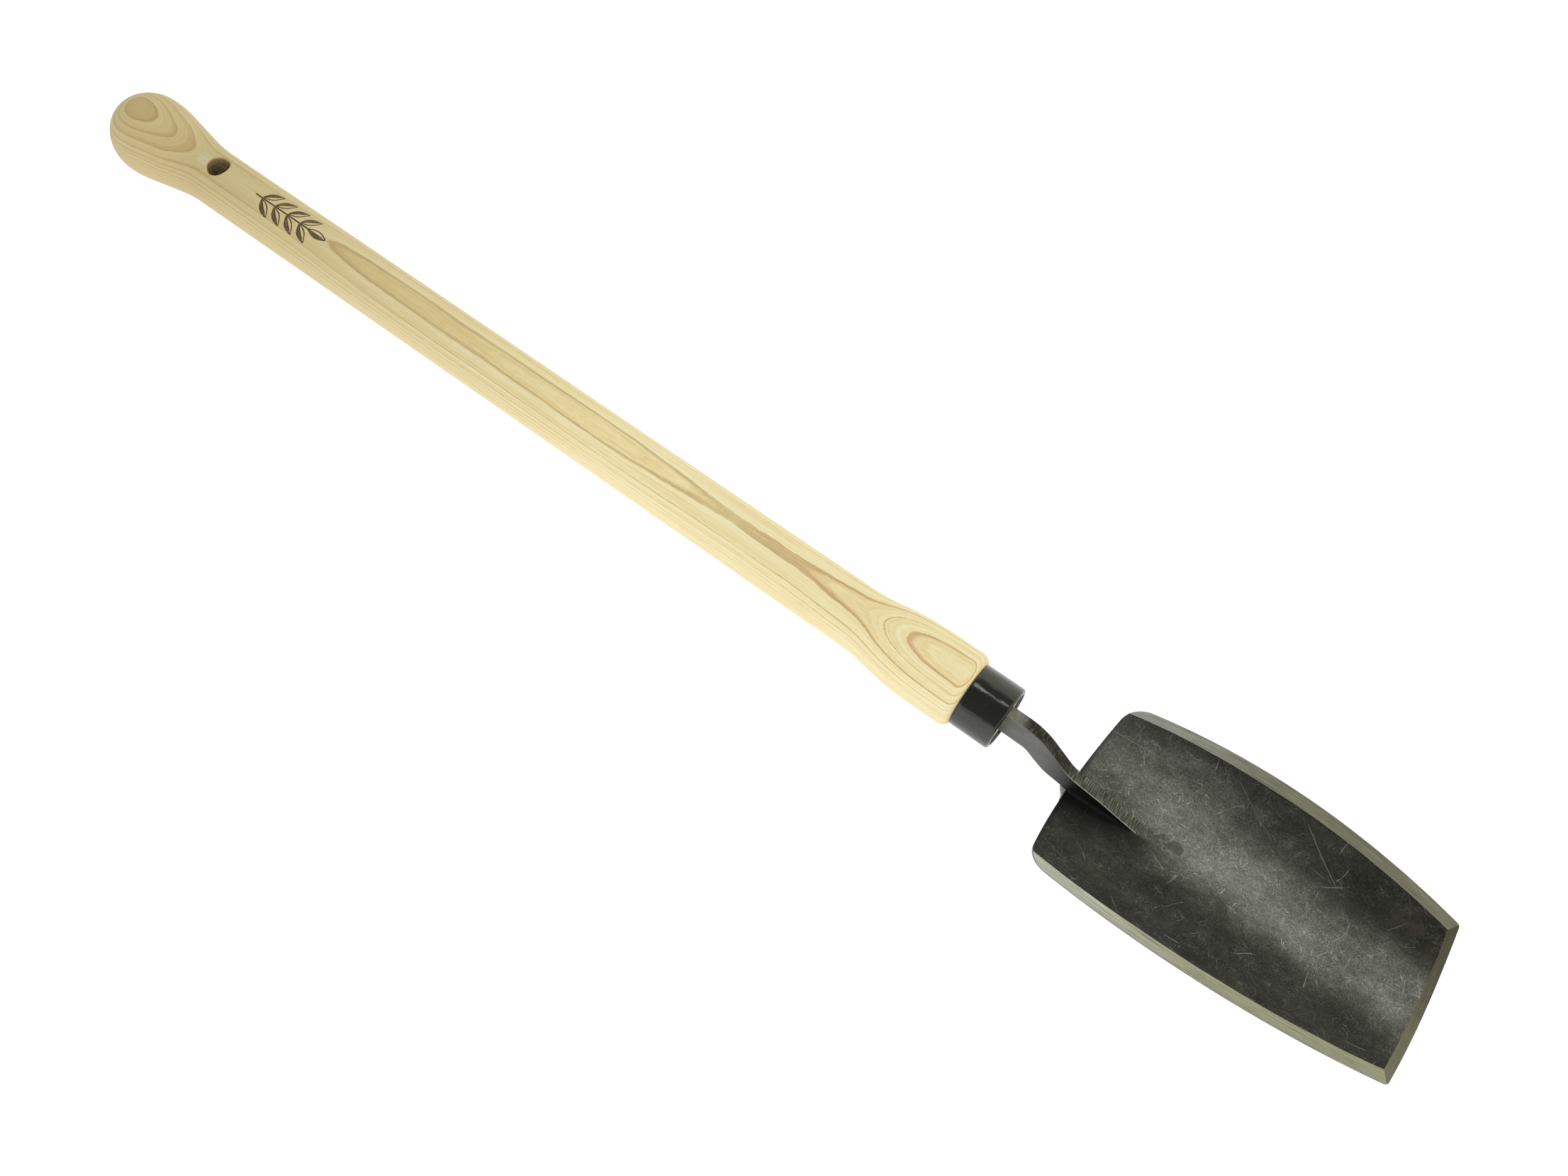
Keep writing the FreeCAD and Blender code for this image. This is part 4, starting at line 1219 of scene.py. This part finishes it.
def make_blade(scale, side_ground, front_ground, edge_steel):
    """The dished plate. Its plan is filled with triangles whose edges follow the bevels."""
    outline = blade_outline()
    plan, edges = blade_lines(outline)
    nearest = KDTree(len(plan))
    for number, p in enumerate(plan):
        nearest.insert((p.x, p.y, 0.0), number)
    nearest.balance()
    spacing = 2.4
    for i in range(int(BLADE_LENGTH / spacing) + 2):
        for j in range(-23, 24):
            p = Vector(((i + 0.5 * (j % 2)) * spacing, j * spacing * 0.9))
            _, _, gap = nearest.find((p.x, p.y, 0.0))
            if gap > 0.8 and is_inside(p, outline):
                plan.append(p)
    plan, _, triangles, *_ = delaunay_2d_cdt(plan, edges, [], 1, 1e-5)
    total = len(plan)

    tilt = Matrix.Rotation(-BLADE_PITCH, 3, "Y")

    def lift(p, radius, drop):
        """A plan point on the dish of this radius, in the CAD frame."""
        hollow = DISH_RADIUS - sqrt(radius ** 2 - p.y ** 2)
        return Vector((BLADE_X, 0.0, BLADE_Z)) + tilt @ Vector((p.x, p.y, hollow - drop))

    points = [lift(p, DISH_RADIUS, BEVEL_DEPTH * max(0.0, side_share(p), front_share(p)))
              for p in plan]
    points += [lift(p, DISH_RADIUS + PLATE, 0.0) for p in plan]
    faces = []
    uses = {}
    for a, b, c in triangles:
        middle = (plan[a] + plan[b] + plan[c]) / 3
        side, front = side_share(middle), front_share(middle)
        material = 0
        if max(side, front) > 0:
            material = 1 if side > front else 3
        faces.append(([a, b, c], material))
        faces.append(([c + total, b + total, a + total], 0))
        for edge in ((a, b), (b, c), (c, a)):
            uses.setdefault(tuple(sorted(edge)), []).append(edge)
    for (a, b), *others in uses.values():
        if not others:
            faces.append(([b, a, a + total, b + total], 2))
    make_part("blade", "blade_steel", "dished_blade", points, faces,
              [scale, side_ground, edge_steel, front_ground], crisp=6.5)


# ------------------------------------------------------------------ welds and resin

def make_weld_metal():
    """Bright bare weld on the rear bead; forward of it, on the fillets along the fin, painted shade makes it
    near-black.
    """
    s = Shader("weld_metal")
    place = s.place()
    grain = s.noise(place, (0.9, 0.9, 0.9), detail=4.0, roughness=0.7)
    x, _, _ = s.separate(place)
    bright = s.ramp(grain, (0.36, (0.12, 0.12, 0.11)), (0.58, (0.62, 0.62, 0.58)))
    dull = s.ramp(grain, (0.30, (0.006, 0.006, 0.006)), (0.70, (0.026, 0.026, 0.024)))
    # painted shade: forward of the rear bead, on the fillets by the fin, the metal is near-black
    colour = s.mix(s.step(weld_high.x - 0.6, weld_high.x + 0.2, x), bright, dull)
    roughness = s.mix(s.step(weld_high.x, weld_high.x + 2.0, x), grain * 0.3 + 0.25,
                      (0.8, 0.8, 0.8))
    return s.finish(colour, roughness, s.bump(grain, 0.25), Metallic=0.5)


def make_rear_weld(metal):
    """The bead under the heel of the neck, along the rear edge of the blade."""
    reach = weld_high.x - weld_low.x
    half = weld_high.y
    middle_z = (weld_low.z + weld_high.z) / 2
    stations, across = 61, 9
    rows = []
    for i in range(stations):
        y = -half + 2 * half * i / (stations - 1)
        out = 1.0 - smoothstep(2.6, half, abs(y)) ** 0.6
        ripple = 0.10 * sin(y * 4.2) * out
        bulge = 0.35 + (reach - 1.6) * out + ripple
        face_x = weld_high.x - 1.1 + y * y / (2 * REAR_RADIUS)
        row = []
        for k in range(across):
            swing = pi * (k / (across - 1) - 0.5)
            x = max(face_x - bulge * cos(swing), weld_low.x)
            row.append((x, y, middle_z + 0.98 * sin(swing)))
        rows.append(row)
    make_part("weld_rear", "weld_metal", "rear_weld", *lofted(rows), [metal], crisp=60)


def make_root_weld(metal, side, node):
    """A slim rippled fillet along the root of the fin."""
    leg = root_high.y - root_low.y
    length = root_high.x - root_low.x
    fin_face = 3.0
    stations, across = 97, 6
    rows = []
    for i in range(stations):
        x = root_low.x + length * i / (stations - 1)
        taper = sqrt(max(0.04, 1 - abs(2 * i / (stations - 1) - 1) ** 6))
        size = leg * taper * (0.90 + 0.08 * sin(x * 3.1))
        floor = blade_top_z(x, fin_face)
        row = [(x, side * fin_face, floor - 0.02)]
        for k in range(across):
            swing = pi / 2 * k / (across - 1)
            y = fin_face + size * (1 - sin(swing) * 0.999) * 0.98
            z = floor + size * (1 - cos(swing)) * 0.98
            row.append((x, side * y, z + (0.03 if k == 0 else 0.0)))
        rows.append(row)
    make_part(node, "weld_metal", f"{node}_bead", *lofted(rows), [metal], crisp=60)


def make_resin():
    """The adhesive round the tang keeps its CAD shape; only its face in the ferrule can be seen."""
    s = Shader("resin")
    place = s.place()
    cloud = s.noise(place, (1.5, 1.5, 1.5), detail=4.0)
    colour = s.ramp(cloud, (0.3, (0.10, 0.075, 0.045)), (0.7, (0.22, 0.17, 0.10)))
    material = s.finish(colour, cloud * 0.2 + 0.5, s.bump(cloud, 0.2))
    plug = frame["nodes"]["tang_adhesive"]
    plug.data.materials.clear()
    plug.data.materials.append(material)
    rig.slot(plug, "resin")


# ------------------------------------------------------------------ stage, light and camera

def make_floor():
    """A plain pale floor, lit a little from within like a light table, far larger than the view."""
    s = Shader("pale_floor")
    place = s.place()
    cloud = s.noise(place, (900, 900, 900), detail=2.0)
    colour = s.ramp(cloud, (0.0, (0.40, 0.40, 0.44)), (1.0, (0.44, 0.44, 0.48)))
    material = s.finish(colour, 0.9, Specular_IOR_Level=0.1, Emission_Color=(1, 1, 1, 1),
                        Emission_Strength=0.85)
    reach = 9000.0
    corners = [(-reach, -reach, 0), (reach, -reach, 0), (reach, reach, 0), (-reach, reach, 0)]
    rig.stage(make_piece("floor", corners, [([0, 1, 2, 3], 0)], [material]))


def make_world():
    """Soft surroundings: a white sweep below and beyond the tool, darkness above the camera."""
    s = Shader("studio", bpy.data.worlds)
    direction = s.out(s.add("ShaderNodeTexCoord"), "Generated")
    above = s.vector("DOT_PRODUCT", direction, (0.0, -0.40, 0.917), output="Value")
    greys = ((0.0, 1.0), (0.30, 0.95), (0.52, 0.80), (0.63, 0.21), (1.0, 0.17))
    colour = s.ramp(above, *[(position, (grey, grey, grey * 0.87)) for position, grey in greys])
    background = s.add("ShaderNodeBackground", colour, 1.15)
    s.add("ShaderNodeOutputWorld", s.out(background))
    bpy.context.scene.world = s.owner


def make_light(name, place, target, width, height, power, glossy=False):
    """An area light at a place in metres that faces a target."""
    lamp = bpy.data.lights.new(name, "AREA")
    lamp.shape = "RECTANGLE"
    lamp.size = width
    lamp.size_y = height
    lamp.energy = power
    light = bpy.data.objects.new(name, lamp)
    light.location = place
    light.rotation_euler = (Vector(target) - Vector(place)).to_track_quat("-Z", "Y").to_euler()
    light.visible_glossy = glossy
    light.visible_camera = False
    bpy.context.scene.collection.objects.link(light)


def make_camera():
    """The camera stands above the blade's near side and looks down along the handle."""
    data = bpy.data.cameras.new("camera")
    data.sensor_width = 36.0
    data.lens = 32.17
    data.clip_start = 0.01
    data.clip_end = 50.0
    camera = bpy.data.objects.new("camera", data)
    place = Vector((0.22176, -0.33555, 0.52008))
    right = Vector((0.79593, 0.58988, 0.13613)).normalized()
    back = right.cross(Vector((-0.54959, 0.60977, 0.57108))).normalized()
    turn = Matrix((right, back.cross(right), back)).transposed()
    camera.matrix_world = Matrix.Translation(place) @ turn.to_4x4()
    bpy.context.scene.collection.objects.link(camera)
    bpy.context.scene.camera = camera


wood = make_wood()
make_handle(wood)
make_ferrule(make_black())
make_neck(make_bar_side(), make_bar_edge())
make_blade(
    make_blade_scale(),
    make_ground_steel("ground_sides", (1.0, 1.0, 1.0), "side", 0.42),
    make_ground_steel("ground_front", (0.41, 0.41, 0.39), "front", 0.50),
    make_plate_edge(),
)
weld_metal = make_weld_metal()
make_rear_weld(weld_metal)
make_root_weld(weld_metal, 1, "weld_left")
make_root_weld(weld_metal, -1, "weld_right")
make_resin()

make_floor()
make_world()
make_light("key_softbox", (0.4, 1.0, 1.9), (0.1, 0.0, 0.0), 1.2, 1.2, 11)
make_light("front_fill", (0.5, -1.6, 1.3), (0.0, 0.0, 0.0), 1.8, 1.2, 22)
make_light("top_strip", (0.10, 0.06, 1.3), (0.10, 0.0, 0.0), 0.9, 0.04, 1.3, glossy=True)
make_camera()
bpy.context.scene.view_settings.view_transform = "Standard"

visual_low, visual_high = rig.bounds()
with open("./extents.json", "w") as out:
    json.dump({
        "cad": [list(cad_low), list(cad_high)],
        "visual": [list(visual_low), list(visual_high)],
    }, out)
